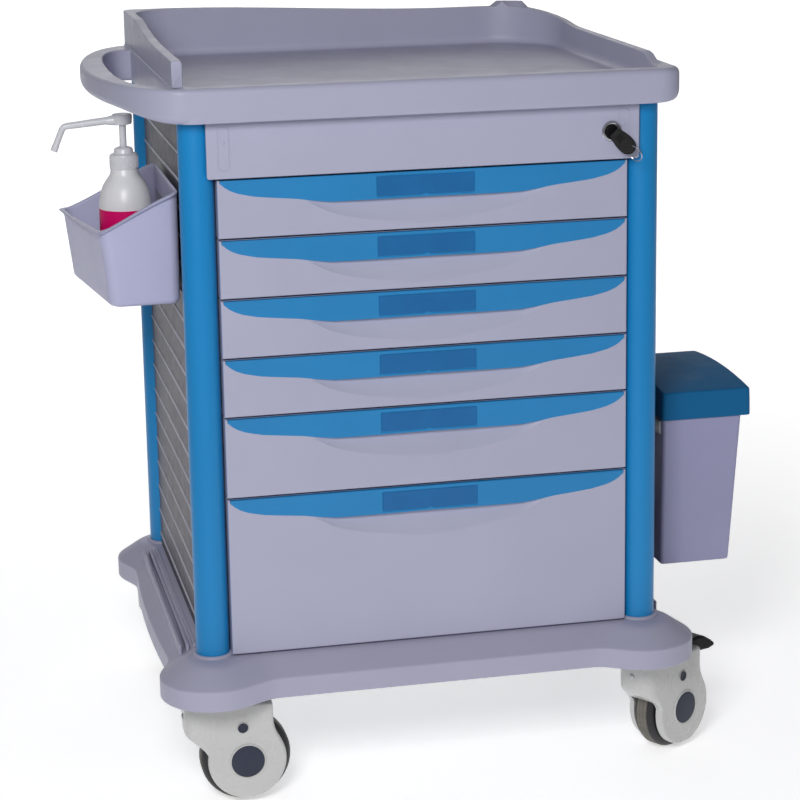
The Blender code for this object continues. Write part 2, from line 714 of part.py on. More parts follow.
# ---------------------------------------------------------------- lock and key
def make_lock():
    face = PANEL_FRONT_Y - GAP
    bore = PLUG_R + GAP
    housing = turned("lock_housing", [
        (LOCK_FLANGE_R, 0.0028), (LOCK_FLANGE_R, 0.0), (LOCK_BODY_R, 0.0), (LOCK_BODY_R, -0.020),
        (bore, -0.020), (bore, 0.0028)], closed=True)
    upright = (math.pi / 2, 0, 0)                     # local +Z to -Y, out of the panel
    place(housing, BLACK, location=(LOCK_X, face, LOCK_Z), rotation=upright)

    plug = cylinder("lock_plug", PLUG_R, (0, -0.0030, 0), (0, 0.0225, 0))
    place(plug, STEEL, location=(LOCK_X, face, LOCK_Z))
    arm = boxes("lock_cam", ((-0.004, 0.0205, -0.0035), (CAM_ARM + 0.0025, 0.0225, 0.0035)))
    pin = cylinder("lock_cam_pin", CAM_PIN_R, (CAM_ARM, 0.0215, 0), (CAM_ARM, 0.0295, 0), 16)
    for piece in (arm, pin):
        place(piece, location=(LOCK_X, face, LOCK_Z), rotation=(0, math.radians(45), 0))
        join(plug, piece)

    # vertical bar with a tab in front of each drawer's right flange, lifted by the cam
    tabs = []
    for low, high in drawer_levels():
        runner = runner_level(low, high)
        tabs.append(((BAR_X - 0.007, BAR_Y[0] + 0.002, runner - 0.009),
                     (BAR_X + 0.001, BAR_Y[1] - 0.004, runner - 0.003)))
    rest = LOCK_Z - CAM_ARM * math.sin(math.radians(45))
    slot_plate = ((LOCK_X - 0.003, BAR_Y[0] - 0.0060, rest - 0.006),
                  (BAR_X + BAR_THICK, BAR_Y[0] - 0.0030, rest + 0.006))
    link = ((BAR_X, BAR_Y[0] - 0.0060, rest - 0.006), (BAR_X + BAR_THICK, BAR_Y[0] + 0.002, rest + 0.006))
    bar = boxes("lock_bar", ((BAR_X, BAR_Y[0], BASE_TOP_Z + 0.012), (BAR_X + BAR_THICK, BAR_Y[1], rest + 0.006)))
    place(bar, STEEL)
    join(bar, place(boxes("lock_bar_tabs", *tabs)))
    join(bar, place(boxes("lock_bar_plate", slot_plate)))
    join(bar, place(boxes("lock_bar_link", link)))
    clearance = CAM_PIN_R + 0.0006
    slot = boxes("lock_bar_slot", (
        (LOCK_X + 0.0015, BAR_Y[0] - 0.02, rest - clearance),
        (LOCK_X + CAM_ARM + clearance + 0.0005, BAR_Y[0] - 0.001, rest + clearance)))
    cut(bar, place(slot))


def key_frame(origin, along, face):
    """Matrix with local Y along a key's length and local Z out of its flat side."""
    y_axis = along.normalized()
    x_axis = y_axis.cross(face).normalized()
    z_axis = x_axis.cross(y_axis)
    turn = Matrix((x_axis, y_axis, z_axis)).transposed().to_4x4()
    return Matrix.Translation(origin) @ turn


def key_head(name):
    """A flat rounded head, its near end at the origin, with a hole at its far end."""
    wide, long = KEY_HEAD_WIDE / 2, KEY_HEAD_LONG
    outline = filleted([
        (-0.0055, 0.0, 0.002), (0.0055, 0.0, 0.002), (wide, 0.010, 0.006),
        (wide, long, 0.0095), (-wide, long, 0.0095), (-wide, 0.010, 0.006)])
    head = plate(name, outline, KEY_HEAD_THICK)
    at = long - KEY_HOLE_INSET
    hole = cylinder(name + "_hole", KEY_HOLE_R, (0, at, -0.01), (0, at, 0.01), 20)
    return head, hole


def make_key():
    face = PANEL_FRONT_Y - GAP - 0.0030 - GAP
    root = Vector((LOCK_X, face - 0.0045, LOCK_Z))
    outward = Vector((0.25, -0.85, 0.40))
    frame = key_frame(root, KEY_DIRECTION, outward)
    head, hole = key_head("key")
    shank = boxes("key_shank", ((-0.0011, face - root.y - 0.008, -0.004), (0.0011, face - root.y, 0.004)))
    place(head, BLACK)
    place(hole)
    for piece in (head, hole):
        piece.matrix_local = frame
    join(head, place(shank, location=root))
    cut(head, hole)

    # the ring runs through the head's hole along the hole's own axis, and out past the head
    along = frame.to_3x3() @ Vector((0, 1, 0))
    through = frame.to_3x3() @ Vector((0, 0, 1))
    eye = frame @ Vector((0, KEY_HEAD_LONG - KEY_HOLE_INSET, 0))
    slack = KEY_HOLE_R - RING_WIRE - 2 * GAP
    centre = eye + along * (RING_R - slack)
    curve = bpy.data.curves.new("key_ring", "CURVE")
    curve.dimensions = "3D"
    curve.bevel_depth = RING_WIRE
    curve.bevel_resolution = 1
    spline = curve.splines.new("POLY")
    pieces = 28
    spline.points.add(pieces - 1)
    for i, point in enumerate(spline.points):
        angle = 2 * math.pi * i / pieces
        point.co = (*(along * math.cos(angle) + through * math.sin(angle)) * RING_R, 1.0)
    spline.use_cyclic_u = True
    place(bpy.data.objects.new("key_ring", curve), STEEL, location=centre)


# ---------------------------------------------------------------- casters
def fork_outline():
    """Side view of a fork, in (trail, height): a head over the swivel and a round cover."""
    axle_z = WHEEL_R
    points = [(-0.028, FORK_TOP_Z), (-0.028, 0.092), (-0.012, 0.078)]
    start, end = math.radians(163), math.radians(395)
    for i in range(17):
        angle = start + (end - start) * i / 16
        points.append((CASTER_TRAIL + FORK_COVER_R * math.cos(angle),
                       axle_z + FORK_COVER_R * math.sin(angle)))
    points += [(0.0815, 0.100), (0.0800, FORK_TOP_Z)]
    return points


def make_caster(name, side, y, turn, braked):
    pivot = bpy.data.objects.new(f"caster_{name}_pivot", None)
    place(pivot, location=(side * CASTER_X, y, 0.0), rotation=(0, 0, math.radians(turn)))
    upright = (math.pi / 2, 0, 0)
    label = f"caster_{name}"

    plate_z = FLOOR_TO_BASE + 0.008 - GAP
    stem = turned(label + "_stem", [
        (0.0, plate_z), (0.0150, plate_z), (0.0150, FLOOR_TO_BASE - 0.002),
        (STEM_R, FLOOR_TO_BASE - 0.004), (STEM_R, FORK_TOP_Z + GAP), (0.0, FORK_TOP_Z + GAP)], steps=28)
    place(stem, STEEL, parent=pivot)

    fork = plate(label + "_fork", fork_outline(), FORK_WIDE)
    place(fork, FORK_GREY, rotation=upright, parent=pivot)
    bevel(fork, 0.005, 2, angle=50)
    half = WHEEL_WIDE / 2 + WHEEL_CLEAR - 0.0010
    slot = cylinder(label + "_slot", WHEEL_R + WHEEL_CLEAR, (CASTER_TRAIL, -half, WHEEL_R),
                    (CASTER_TRAIL, half, WHEEL_R), 40)
    cut(fork, place(slot, parent=pivot))
    axle = cylinder(label + "_axle", AXLE_R, (CASTER_TRAIL, -half - 0.004, WHEEL_R),
                    (CASTER_TRAIL, half + 0.004, WHEEL_R), 20)
    join(fork, place(axle, parent=pivot))

    rim, wide = WHEEL_R, WHEEL_WIDE / 2
    bore = AXLE_R + AXLE_CLEAR
    wheel = turned(label + "_wheel", [
        (bore, wide), (0.014, wide), (0.016, wide - 0.004), (0.041, wide - 0.004), (0.044, wide),
        (rim - 0.004, wide), (rim, wide - 0.007), (rim, 0.007 - wide), (rim - 0.004, -wide),
        (0.044, -wide), (0.041, 0.004 - wide), (0.016, 0.004 - wide), (0.014, -wide), (bore, -wide)],
        steps=32, closed=True)
    place(wheel, TYRE, location=(CASTER_TRAIL, 0, WHEEL_R), rotation=upright, parent=pivot)

    if braked:
        notch = boxes(label + "_notch", (
            (0.0660, -PEDAL_ROOT_WIDE / 2 - 0.001, 0.1140), (0.10, PEDAL_ROOT_WIDE / 2 + 0.001, 0.16)))
        cut(fork, place(notch, parent=pivot))
        outline = filleted([
            (0.0680, 0.1180, 0.001), (0.0870, 0.1180, 0.004), (0.1180, 0.1150, 0.003),
            (0.1240, 0.1200, 0.002), (0.1000, 0.1365, 0.010), (0.0680, 0.1385, 0.003)])
        pedal = plate(label + "_pedal", outline, PEDAL_WIDE)
        place(pedal, BLACK, rotation=upright, parent=pivot)
        for hand in (-1, 1):
            ys = sorted((hand * PEDAL_ROOT_WIDE / 2, hand * PEDAL_WIDE))
            waste = boxes(f"{label}_pedal_trim_{hand + 1}", ((0.05, ys[0], 0.10), (0.0835, ys[1], 0.15)))
            cut(pedal, place(waste, parent=pivot))


# ---------------------------------------------------------------- accessories
def make_hanging_bin():
    """Tub whose rim falls away from the cabinet, on a bracket screwed to the side panel."""
    high = BIN_Z + BIN_OUTER_HIGH
    tub = open_tub("hanging_bin", (BIN_X[0], BIN_Y[0], BIN_Z), (BIN_X[1], BIN_Y[1], high),
                   BIN_TAPER, BIN_LIP, edge=0.012)
    for vert in tub.data.vertices:
        share = (vert.co.x - BIN_X[0]) / (BIN_X[1] - BIN_X[0])
        tall = BIN_OUTER_HIGH + (BIN_INNER_HIGH - BIN_OUTER_HIGH) * share
        vert.co.z = BIN_Z + (vert.co.z - BIN_Z) * tall / BIN_OUTER_HIGH
    # the lip is trimmed flush on the cabinet side, where the bin hangs on its bracket
    solidify(place(tub, LILAC), BIN_WALL, offset=-1.0)
    trim = boxes("hanging_bin_trim", ((BIN_X[1], -0.1, 0.5), (0.0, 0.6, 0.9)))
    cut(tub, place(trim))

    back = -PANEL_X - SLAT_PROUD - GAP
    bracket = boxes("hanging_bin_bracket", (
        (BIN_X[1] + GAP, BIN_Y[0] + 0.03, BIN_Z + 0.060), (back, BIN_Y[1] - 0.03, BIN_Z + 0.110)))
    place(bracket, STEEL)


def make_bottle():
    floor = BIN_Z + BIN_WALL + GAP
    r, wall = BOTTLE_R, BOTTLE_WALL
    neck = NECK_TOP
    outer = [(0.0145, neck), (0.0145, neck - 0.008), (0.0165, neck - 0.012), (0.0205, neck - 0.020),
             (0.0270, neck - 0.033), (r, neck - 0.043), (r, 0.006), (r - 0.006, 0.0)]
    inner = [(r - 0.006 - wall, wall), (r - wall, 0.007), (r - wall, neck - 0.0435), (0.0270 - wall, neck - 0.034),
             (0.0205 - wall, neck - 0.021), (0.0150, neck - 0.013), (0.0130, neck - 0.009), (0.0130, neck)]
    profile = outer + [(0.0, 0.0), (0.0, wall)] + inner
    bottle = turned("bottle", profile, steps=24)
    # the profile starts and ends at the mouth, which this ring of edges closes
    bottle.data.edges.add(1)
    bottle.data.edges[-1].vertices = (len(profile) - 1, 0)
    place(bottle, WHITE, location=(BOTTLE_X, BOTTLE_Y, floor))

    collar = turned("pump_collar", [
        (0.0100, neck + 0.022), (0.0135, neck + 0.0155), (0.0172, neck + 0.0145), (0.0172, neck - 0.005),
        (0.0145 + GAP, neck - 0.005), (0.0145 + GAP, neck + GAP), (0.0046, neck + GAP), (0.0046, neck + 0.022)],
        steps=24, closed=True)
    place(collar, WHITE, location=(BOTTLE_X, BOTTLE_Y, floor))

    stem = cylinder("pump_head", 0.0042, (0, 0, neck - 0.028), (0, 0, neck + 0.056), 20)
    place(stem, WHITE, location=(BOTTLE_X, BOTTLE_Y, floor))
    cap = cylinder("pump_cap", 0.0115, (0, 0, neck + 0.050), (0, 0, neck + 0.062), 28, end_radius=0.0125)
    join(stem, place(cap, location=(BOTTLE_X, BOTTLE_Y, floor)))
    curve = bpy.data.curves.new("pump_spout", "CURVE")
    curve.dimensions = "3D"
    curve.bevel_depth = SPOUT_R
    curve.bevel_resolution = 3
    curve.use_fill_caps = True
    spline = curve.splines.new("POLY")
    reach = SPOUT_REACH
    route = [(0.0, neck + 0.0555), (-reach, neck + 0.0495), (-reach - 0.0050, neck + 0.0460),
             (-reach - SPOUT_DROP_X, neck + 0.0200)]
    spline.points.add(len(route) - 1)
    for point, (x, z) in zip(spline.points, route):
        point.co = (x, 0.0, z, 1.0)
    source = bpy.data.objects.new("pump_spout_curve", curve)
    bpy.context.scene.collection.objects.link(source)
    bpy.context.view_layer.update()
    evaluated = source.evaluated_get(bpy.context.evaluated_depsgraph_get())
    bm = bmesh.new()
    bm.from_mesh(bpy.data.meshes.new_from_object(evaluated))
    bpy.data.objects.remove(source)
    bmesh.ops.remove_doubles(bm, verts=bm.verts, dist=0.00001)
    spout = mesh_object("pump_spout", bm)
    join(stem, place(spout, location=(BOTTLE_X, BOTTLE_Y, floor)))


def make_waste_bin():
    under_lip = WASTE_RIM_Z - WASTE_WALL
    tub = open_tub("waste_bin", (WASTE_X[0], WASTE_Y[0], WASTE_Z), (WASTE_X[1], WASTE_Y[1], under_lip),
                   0.0, 0.0018, edge=0.005)
    tall = under_lip - WASTE_Z
    for vert in tub.data.vertices:
        share = (under_lip - vert.co.z) / tall
        outer = (vert.co.x - WASTE_X[0]) / (WASTE_X[1] - WASTE_X[0])
        vert.co.x -= WASTE_TAPER * share * outer
        middle = (WASTE_Y[0] + WASTE_Y[1]) / 2
        vert.co.y -= WASTE_TAPER * share * (vert.co.y - middle) / (WASTE_Y[1] - middle) * 0.6
    solidify(place(tub, LILAC), WASTE_WALL, offset=-1.0)

    # lid: a domed cap turned upside down from a tub, hinged on a pin beside the bin's rim
    low = (WASTE_X[0] - LID_SKIRT, WASTE_Y[0] - LID_SKIRT, -LID_HIGH)
    high = (WASTE_X[1] + LID_FAR_SKIRT, WASTE_Y[1] + LID_SKIRT, 0.0)
    lid = open_tub("waste_lid", low, high, 0.003, 0.0, edge=0.006)
    for vert in lid.data.vertices:
        vert.co.z = WASTE_RIM_Z + 0.0005 - vert.co.z
    lid.data.flip_normals()
    solidify(place(lid, LID_BLUE), LID_WALL, offset=-1.0)
    lug = boxes("waste_lid_lugs", *[
        ((LID_PIN_X - 0.004, y - 0.008, LID_PIN_Z - 0.003), (LID_PIN_X + 0.0045, y + 0.008, LID_PIN_Z + 0.006))
        for y in (WASTE_Y[0] + 0.06, WASTE_Y[1] - 0.06)])
    join(lid, place(lug))
    bore = cylinder("waste_lid_bore", LID_PIN_R + GAP, (LID_PIN_X, 0.0, LID_PIN_Z), (LID_PIN_X, 0.6, LID_PIN_Z), 20)
    cut(lid, place(bore))

    # bracket: a plate on the side panel, an arm, a ledge under the bin's lip and ears for the pin
    back = PANEL_X + SLAT_PROUD + GAP
    middle = (WASTE_Y[0] + WASTE_Y[1]) / 2
    face = WASTE_X[0] - GAP
    ledge = under_lip - 0.0004
    bracket = boxes("waste_bracket", ((back, middle - 0.07, 0.300), (back + 0.003, middle + 0.07, 0.412)))
    place(bracket, STEEL)
    arm = boxes("waste_bracket_arm", ((back + 0.001, middle - 0.05, 0.400), (face, middle + 0.05, 0.406)))
    ledge_bar = boxes("waste_bracket_ledge", (
        (face - 0.004, middle - 0.095, 0.400), (face - 0.00005, middle + 0.095, ledge)))
    ears = boxes("waste_bracket_ears", *[
        ((LID_PIN_X - 0.0025, y - 0.005, 0.402), (LID_PIN_X + 0.0025, y + 0.005, LID_PIN_Z + 0.0025))
        for y in (middle - 0.025, middle + 0.025)])
    feet = boxes("waste_bracket_feet", *[
        ((LID_PIN_X - 0.0020, y - 0.005, 0.4025), (face - 0.002, y + 0.005, 0.409))
        for y in (middle - 0.025, middle + 0.025)])
    pin = cylinder("waste_bracket_pin", LID_PIN_R, (LID_PIN_X, WASTE_Y[0] + 0.045, LID_PIN_Z),
                   (LID_PIN_X, WASTE_Y[1] - 0.045, LID_PIN_Z), 16)
    for piece in (arm, ledge_bar, ears, feet, pin):
        join(bracket, place(piece))


make_base()
make_columns()
make_side_panels()
make_back_panel()
make_racks()
make_drawers()
make_top()
make_front_panel()
make_lock()
make_key()
for caster in CASTERS:
    make_caster(*caster)
make_hanging_bin()
make_bottle()
make_waste_bin()
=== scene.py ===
"""Looks of a six-drawer ward trolley: moulded base and top, blue columns, drawers, casters and bins.

Lengths are metres. Pieces are drawn in trolley coordinates: x = 0 is the middle of the front,
y = 0 the face of the drawer fronts, z = 0 the floor. SHIFT carries them into the frame's own.
"""

import math

import bmesh
import bpy
from mathutils import Matrix, Vector


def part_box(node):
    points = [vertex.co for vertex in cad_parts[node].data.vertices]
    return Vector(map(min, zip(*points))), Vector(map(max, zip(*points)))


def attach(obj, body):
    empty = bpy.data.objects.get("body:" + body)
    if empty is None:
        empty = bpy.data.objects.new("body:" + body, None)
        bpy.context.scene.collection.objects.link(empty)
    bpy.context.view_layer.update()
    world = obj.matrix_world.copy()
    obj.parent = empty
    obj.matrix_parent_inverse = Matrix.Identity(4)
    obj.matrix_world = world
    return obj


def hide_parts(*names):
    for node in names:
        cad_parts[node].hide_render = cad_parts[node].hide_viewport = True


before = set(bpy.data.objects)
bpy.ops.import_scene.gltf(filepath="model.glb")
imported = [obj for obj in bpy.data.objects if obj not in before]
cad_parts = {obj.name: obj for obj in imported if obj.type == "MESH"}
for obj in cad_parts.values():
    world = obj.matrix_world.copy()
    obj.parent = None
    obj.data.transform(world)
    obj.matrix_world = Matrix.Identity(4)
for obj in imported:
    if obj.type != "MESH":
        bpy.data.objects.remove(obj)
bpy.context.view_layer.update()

PANEL_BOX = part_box("front_top_panel")
FRONT_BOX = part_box("drawer_1_front")
SHIFT = Vector(((PANEL_BOX[0].x + PANEL_BOX[1].x) / 2, FRONT_BOX[0].y, 0.0))

DRAWERS = range(1, 7)


def from_frame(corner):
    """A frame point in trolley coordinates."""
    return corner - SHIFT


def node_box(name):
    """A node's lowest and highest corners in trolley coordinates."""
    low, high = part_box(name)
    return from_frame(low), from_frame(high)


MID_Y = (node_box("base_moulding")[0].y + node_box("base_moulding")[1].y) / 2
BASE_TOP_Z = node_box("base_moulding")[1].z
BASE_LOW_Z = node_box("base_moulding")[0].z
TOP_Z = node_box("column_front_left")[1].z
RIM_Z = TOP_Z + 0.041


# ---------------------------------------------------------------- small sums
def smooth(value, low, high):
    """0 below low, 1 above high, and an S between."""
    share = min(max((value - low) / (high - low), 0.0), 1.0)
    return share * share * (3 - 2 * share)


def between(value, table):
    """Straight-line reading of a table of (at, result) rows."""
    if value <= table[0][0]:
        return table[0][1]
    for (at, result), (next_at, next_result) in zip(table, table[1:]):
        if value <= next_at:
            return result + (next_result - result) * (value - at) / (next_at - at)
    return table[-1][1]


def clamp(value, low, high):
    return min(max(value, low), high)


def steps(low, high, count):
    """count + 1 numbers from low to high."""
    return [low + (high - low) * i / count for i in range(count + 1)]


def arc(x, y, radius, start, end, count):
    """Points on a circle, angles in degrees."""
    return [(x + radius * math.cos(math.radians(a)), y + radius * math.sin(math.radians(a)))
            for a in steps(start, end, count)]


# ---------------------------------------------------------------- materials
def linear(red, green, blue):
    """Linear colour from display values out of 255."""
    values = []
    for value in (red, green, blue):
        value /= 255
        values.append(value / 12.92 if value <= 0.04045 else ((value + 0.055) / 1.055) ** 2.4)
    return (*values, 1.0)


def add_node(nodes, kind, **inputs):
    """New shader node; inputs are named as in Blender, with _ for each space."""
    node = nodes.new(kind)
    for name, value in inputs.items():
        node.inputs[name.replace("_", " ")].default_value = value
    return node


def material(name, tint, roughness, *, spread=0.05, cloud=9.0, grain=1400.0, bump=0.06,
             grain_depth=0.0003, metallic=0.0, scuff=0.0, stretch=(1.0, 1.0, 1.0), through=0.0, shine=0.5):
    """Moulded or painted finish: cloudy tone, uneven gloss, fine grain and faint scuffs along the way.

    tint is the display colour, spread how far the tone drifts, cloud and grain the noise scales per metre.
    """
    made = bpy.data.materials.new(name)
    made.use_nodes = True
    nodes, links = made.node_tree.nodes, made.node_tree.links
    shader = nodes["Principled BSDF"]
    shader.inputs["Metallic"].default_value = metallic
    shader.inputs["Specular IOR Level"].default_value = shine
    shader.inputs["Subsurface Weight"].default_value = through
    shader.inputs["Subsurface Radius"].default_value = (0.004, 0.004, 0.004)
    place = nodes.new("ShaderNodeTexCoord")
    scale = add_node(nodes, "ShaderNodeMapping", Scale=stretch)
    links.new(place.outputs["Object"], scale.inputs["Vector"])

    def noise(size, detail, rough=0.55):
        node = add_node(nodes, "ShaderNodeTexNoise", Scale=size, Detail=detail, Roughness=rough)
        links.new(scale.outputs["Vector"], node.inputs["Vector"])
        return node.outputs["Fac"]

    ramp = nodes.new("ShaderNodeValToRGB")
    dark, light = ramp.color_ramp.elements
    dark.position, light.position = 0.3, 0.72
    dark.color = (*[c * (1 - spread) for c in linear(*tint)[:3]], 1.0)
    light.color = (*[min(c * (1 + spread), 1.0) for c in linear(*tint)[:3]], 1.0)
    links.new(noise(cloud, 5.0), ramp.inputs["Fac"])
    links.new(ramp.outputs["Color"], shader.inputs["Base Color"])

    rough = add_node(nodes, "ShaderNodeMapRange", From_Min=0.35, From_Max=0.7, To_Min=roughness - 0.05,
                     To_Max=roughness + 0.07 + scuff)
    links.new(noise(cloud * 5, 6.0, 0.7), rough.inputs["Value"])
    links.new(rough.outputs["Result"], shader.inputs["Roughness"])

    relief = add_node(nodes, "ShaderNodeBump", Strength=bump, Distance=grain_depth)
    links.new(noise(grain, 3.0), relief.inputs["Height"])
    links.new(relief.outputs["Normal"], shader.inputs["Normal"])
    return made


LILAC = material("lilac_moulding", (166, 167, 189), 0.38, spread=0.02, cloud=5.0, scuff=0.03,
                 through=0.04, shine=0.3)
LILAC_BASE = material("lilac_base_moulding", (164, 163, 184), 0.44, spread=0.03, cloud=5.0, scuff=0.05,
                      through=0.04, shine=0.3)
LILAC_FRONT = material("lilac_drawer_front", (168, 169, 191), 0.42, spread=0.03, cloud=6.0, shine=0.3)
LILAC_BIN = material("lilac_bin", (178, 179, 208), 0.40, spread=0.03, through=0.05, shine=0.3)
# The waste bin's lilac is darker than the other mouldings: painted shade for the light falling off towards its side.
LILAC_WASTE_SHADED = material("lilac_waste_bin_painted_shade", (150, 150, 182), 0.42, spread=0.03, scuff=0.05, through=0.04,
                       shine=0.25)
COLUMN = material("blue_column", (22, 128, 190), 0.36, shine=0.32, stretch=(1, 1, 0.15), grain=900.0)
STRIP = material("blue_strip", (38, 126, 184), 0.40, shine=0.3)
WINDOW = material("blue_window", (30, 100, 158), 0.34, shine=0.25, spread=0.06, cloud=24.0)
LID = material("blue_lid", (28, 98, 146), 0.60, spread=0.03, cloud=5.0, shine=0.06)
# Side sheet: the pale lilac plastic of its ridges, darkened to grey as painted shade.
PANEL = material("side_panel_painted_shade", (86, 84, 95), 0.45, spread=0.06, grain=700.0, bump=0.05, shine=0.15)
RIDGE = material("pale_ridge", (158, 157, 172), 0.36, spread=0.06, grain=700.0, shine=0.3)
BACK = material("grey_back_panel", (150, 150, 168), 0.5, grain=700.0, bump=0.1)
STEEL = material("zinc_plated_steel", (176, 178, 182), 0.34, spread=0.12, cloud=60.0, metallic=1.0,
                 scuff=0.1)
CHROME = material("bright_ring", (205, 207, 212), 0.16, spread=0.06, cloud=80.0, metallic=1.0)
BLACK = material("black_plastic", (10, 10, 13), 0.50, shine=0.15, spread=0.15, cloud=30.0, bump=0.12)
CAP = material("slate_cap", (50, 54, 70), 0.46, shine=0.25, spread=0.08, cloud=30.0, bump=0.1)
FORK = material("off_white_fork", (192, 192, 191), 0.26, shine=0.45, spread=0.03, scuff=0.05, through=0.05)
TYRE = material("black_tyre", (26, 26, 30), 0.5, spread=0.2, cloud=50.0, bump=0.25, grain=900.0)
TREAD = material("worn_tread", (104, 101, 94), 0.72, spread=0.18, cloud=70.0, bump=0.4, grain=1100.0,
                 grain_depth=0.0006)
BOTTLE = material("white_bottle", (216, 216, 220), 0.34, spread=0.02, through=0.25)
PUMP = material("white_pump", (204, 204, 210), 0.28, spread=0.02, through=0.12)
LABEL = material("magenta_label", (206, 0, 98), 0.40, shine=0.2, spread=0.08, cloud=40.0)
DRAWER_BOX = material("pale_drawer_box", (198, 199, 210), 0.5, spread=0.03, bump=0.1)


# ---------------------------------------------------------------- mesh helpers
def loft(rings, caps=(True, True)):
    """Surface through rings of equal count."""
    bm = bmesh.new()
    rows = [[bm.verts.new(point) for point in ring] for ring in rings]
    count = len(rows[0])
    for row, upper in zip(rows, rows[1:]):
        for i in range(count):
            j = (i + 1) % count
            bm.faces.new((row[i], row[j], upper[j], upper[i]))
    if caps[0]:
        bm.faces.new(list(reversed(rows[0])))
    if caps[1]:
        bm.faces.new(rows[-1])
    return bm


def joined(*parts):
    """One bmesh from several."""
    whole = parts[0]
    for part in parts[1:]:
        holder = bpy.data.meshes.new("holder")
        part.to_mesh(holder)
        whole.from_mesh(holder)
        bpy.data.meshes.remove(holder)
        part.free()
    return whole


def placed(bm, matrix):
    bmesh.ops.transform(bm, matrix=matrix, verts=bm.verts)
    return bm


WELD = 0.00003


def piece(name, bm, body, made_of, nodes=(), sharp=32):
    """Turn a bmesh into a named piece that rides on a body and stands for CAD nodes."""
    bmesh.ops.remove_doubles(bm, verts=bm.verts, dist=WELD)
    bmesh.ops.dissolve_degenerate(bm, edges=bm.edges, dist=WELD / 2)
    bmesh.ops.recalc_face_normals(bm, faces=bm.faces)
    bmesh.ops.translate(bm, verts=bm.verts, vec=SHIFT)
    mesh = bpy.data.meshes.new(name)
    bm.to_mesh(mesh)
    bm.free()
    for face in mesh.polygons:
        face.use_smooth = True
    mesh.set_sharp_from_angle(angle=math.radians(sharp))
    obj = bpy.data.objects.new(name, mesh)
    bpy.context.scene.collection.objects.link(obj)
    mesh.materials.append(made_of)
    even = obj.modifiers.new("even_shading", "WEIGHTED_NORMAL")
    even.keep_sharp = True
    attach(obj, body)
    if nodes:
        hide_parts(*nodes)


def inset_outline(points, inset):
    """A closed counter-clockwise outline moved inwards."""
    moved = []
    count = len(points)
    for i, point in enumerate(points):
        before = Vector(point) - Vector(points[i - 1])
        after = Vector(points[(i + 1) % count]) - Vector(point)
        before.normalize()
        after.normalize()
        normal_after = Vector((-after.y, after.x))
        normal = Vector((-before.y, before.x)) + normal_after
        normal.normalize()
        mitre = 1 / max(normal.dot(normal_after), 0.5)
        moved.append(Vector(point) + normal * inset * mitre)
    return moved


def rim_profile(low, high, low_round, high_round, count=4):
    """(inset, height) rows of a slab whose two rims are rounded."""
    rows = []
    for i in range(count + 1):
        angle = math.pi / 2 * i / count
        rows.append((low_round * (1 - math.sin(angle)), low + low_round * (1 - math.cos(angle))))
    for i in range(count + 1):
        angle = math.pi / 2 * i / count
        rows.append((high_round * (1 - math.cos(angle)), high - high_round * (1 - math.sin(angle))))
    return rows


def slab(outline, low, high, low_round, high_round, put, count=4):
    """Extruded outline with rounded rims; put(u, v, height) gives the point in space."""
    rings = []
    for inset, height in rim_profile(low, high, low_round, high_round, count):
        rings.append([put(p[0], p[1], height) for p in inset_outline(outline, inset)])
    return loft(rings)


def on_edge(u, v, height):
    """Point of a slab whose outline stands upright, in x and z."""
    return Vector((u, height, v))


def round_rect(x0, y0, x1, y1, radius, count=6):
    """Counter-clockwise outline."""
    return (arc(x1 - radius, y0 + radius, radius, -90, 0, count)
            + arc(x1 - radius, y1 - radius, radius, 0, 90, count)
            + arc(x0 + radius, y1 - radius, radius, 90, 180, count)
            + arc(x0 + radius, y0 + radius, radius, 180, 270, count))


def rounded_box(low, high, radius, corner=None, facing="z"):
    """Box with every edge rounded; facing is the axis whose two faces have the small rim."""
    corner = corner or radius
    axes = {"x": (1, 2, 0), "y": (2, 0, 1), "z": (0, 1, 2)}[facing]

    def put(u, v, height):
        point = [0.0, 0.0, 0.0]
        for axis, value in zip(axes, (u, v, height)):
            point[axis] = value
        return Vector(point)

    outline = round_rect(low[axes[0]], low[axes[1]], high[axes[0]], high[axes[1]], corner)
    return slab(outline, low[axes[2]], high[axes[2]], radius, radius, put)


def lathe(profile, segments=48, caps=(True, True)):
    """Turned shape about Z from (radius, height) rows."""
    rings = []
    for radius, height in profile:
        rings.append([Vector((radius * math.cos(a), radius * math.sin(a), height))
                      for a in (2 * math.pi * i / segments for i in range(segments))])
    return loft(rings, caps)


def along(direction, at):
    """Matrix that turns +Z to a direction and moves to a point."""
    turn = Vector(direction).normalized().to_track_quat("Z", "Y").to_matrix().to_4x4()
    return Matrix.Translation(Vector(at)) @ turn


def tube(path, radii, segments=20, closed=False):
    """Round rod along points; radii is one number or one for each point."""
    path = [Vector(p) for p in path]
    count = len(path)
    radii = radii if isinstance(radii, (list, tuple)) else [radii] * count
    rings = []
    side = None
    for i, point in enumerate(path):
        ahead = path[(i + 1) % count] if closed or i + 1 < count else point
        behind = path[i - 1] if closed or i > 0 else point
        heading = (ahead - behind).normalized()
        if side is None:
            side = heading.orthogonal().normalized()
        side = (side - heading * side.dot(heading)).normalized()
        other = heading.cross(side)
        rings.append([point + (side * math.cos(a) + other * math.sin(a)) * radii[i]
                      for a in (2 * math.pi * k / segments for k in range(segments))])
    if closed:
        rings.append(rings[0])
    return loft(rings, caps=(not closed, not closed))


def curve_points(points, count=6):
    """Catmull-Rom curve through points."""
    points = [Vector(p) for p in points]
    ends = [points[0] * 2 - points[1]] + points + [points[-1] * 2 - points[-2]]
    result = []
    for a, b, c, d in zip(ends, ends[1:], ends[2:], ends[3:]):
        for i in range(count):
            t = i / count
            result.append(0.5 * ((2 * b) + (c - a) * t + (2 * a - 5 * b + 4 * c - d) * t * t
                                 + (3 * b - a - 3 * c + d) * t * t * t))
    return result + [points[-1]]


def screw(at, direction, radius=0.0042, high=0.0018):
    """Pan-head screw with a cross recess."""
    head = lathe([(radius, 0.0), (radius, high * 0.45), (radius * 0.86, high * 0.8), (radius * 0.55, high),
                  (radius * 0.12, high), (radius * 0.10, high * 0.45)], 24)
    return placed(head, along(direction, at))


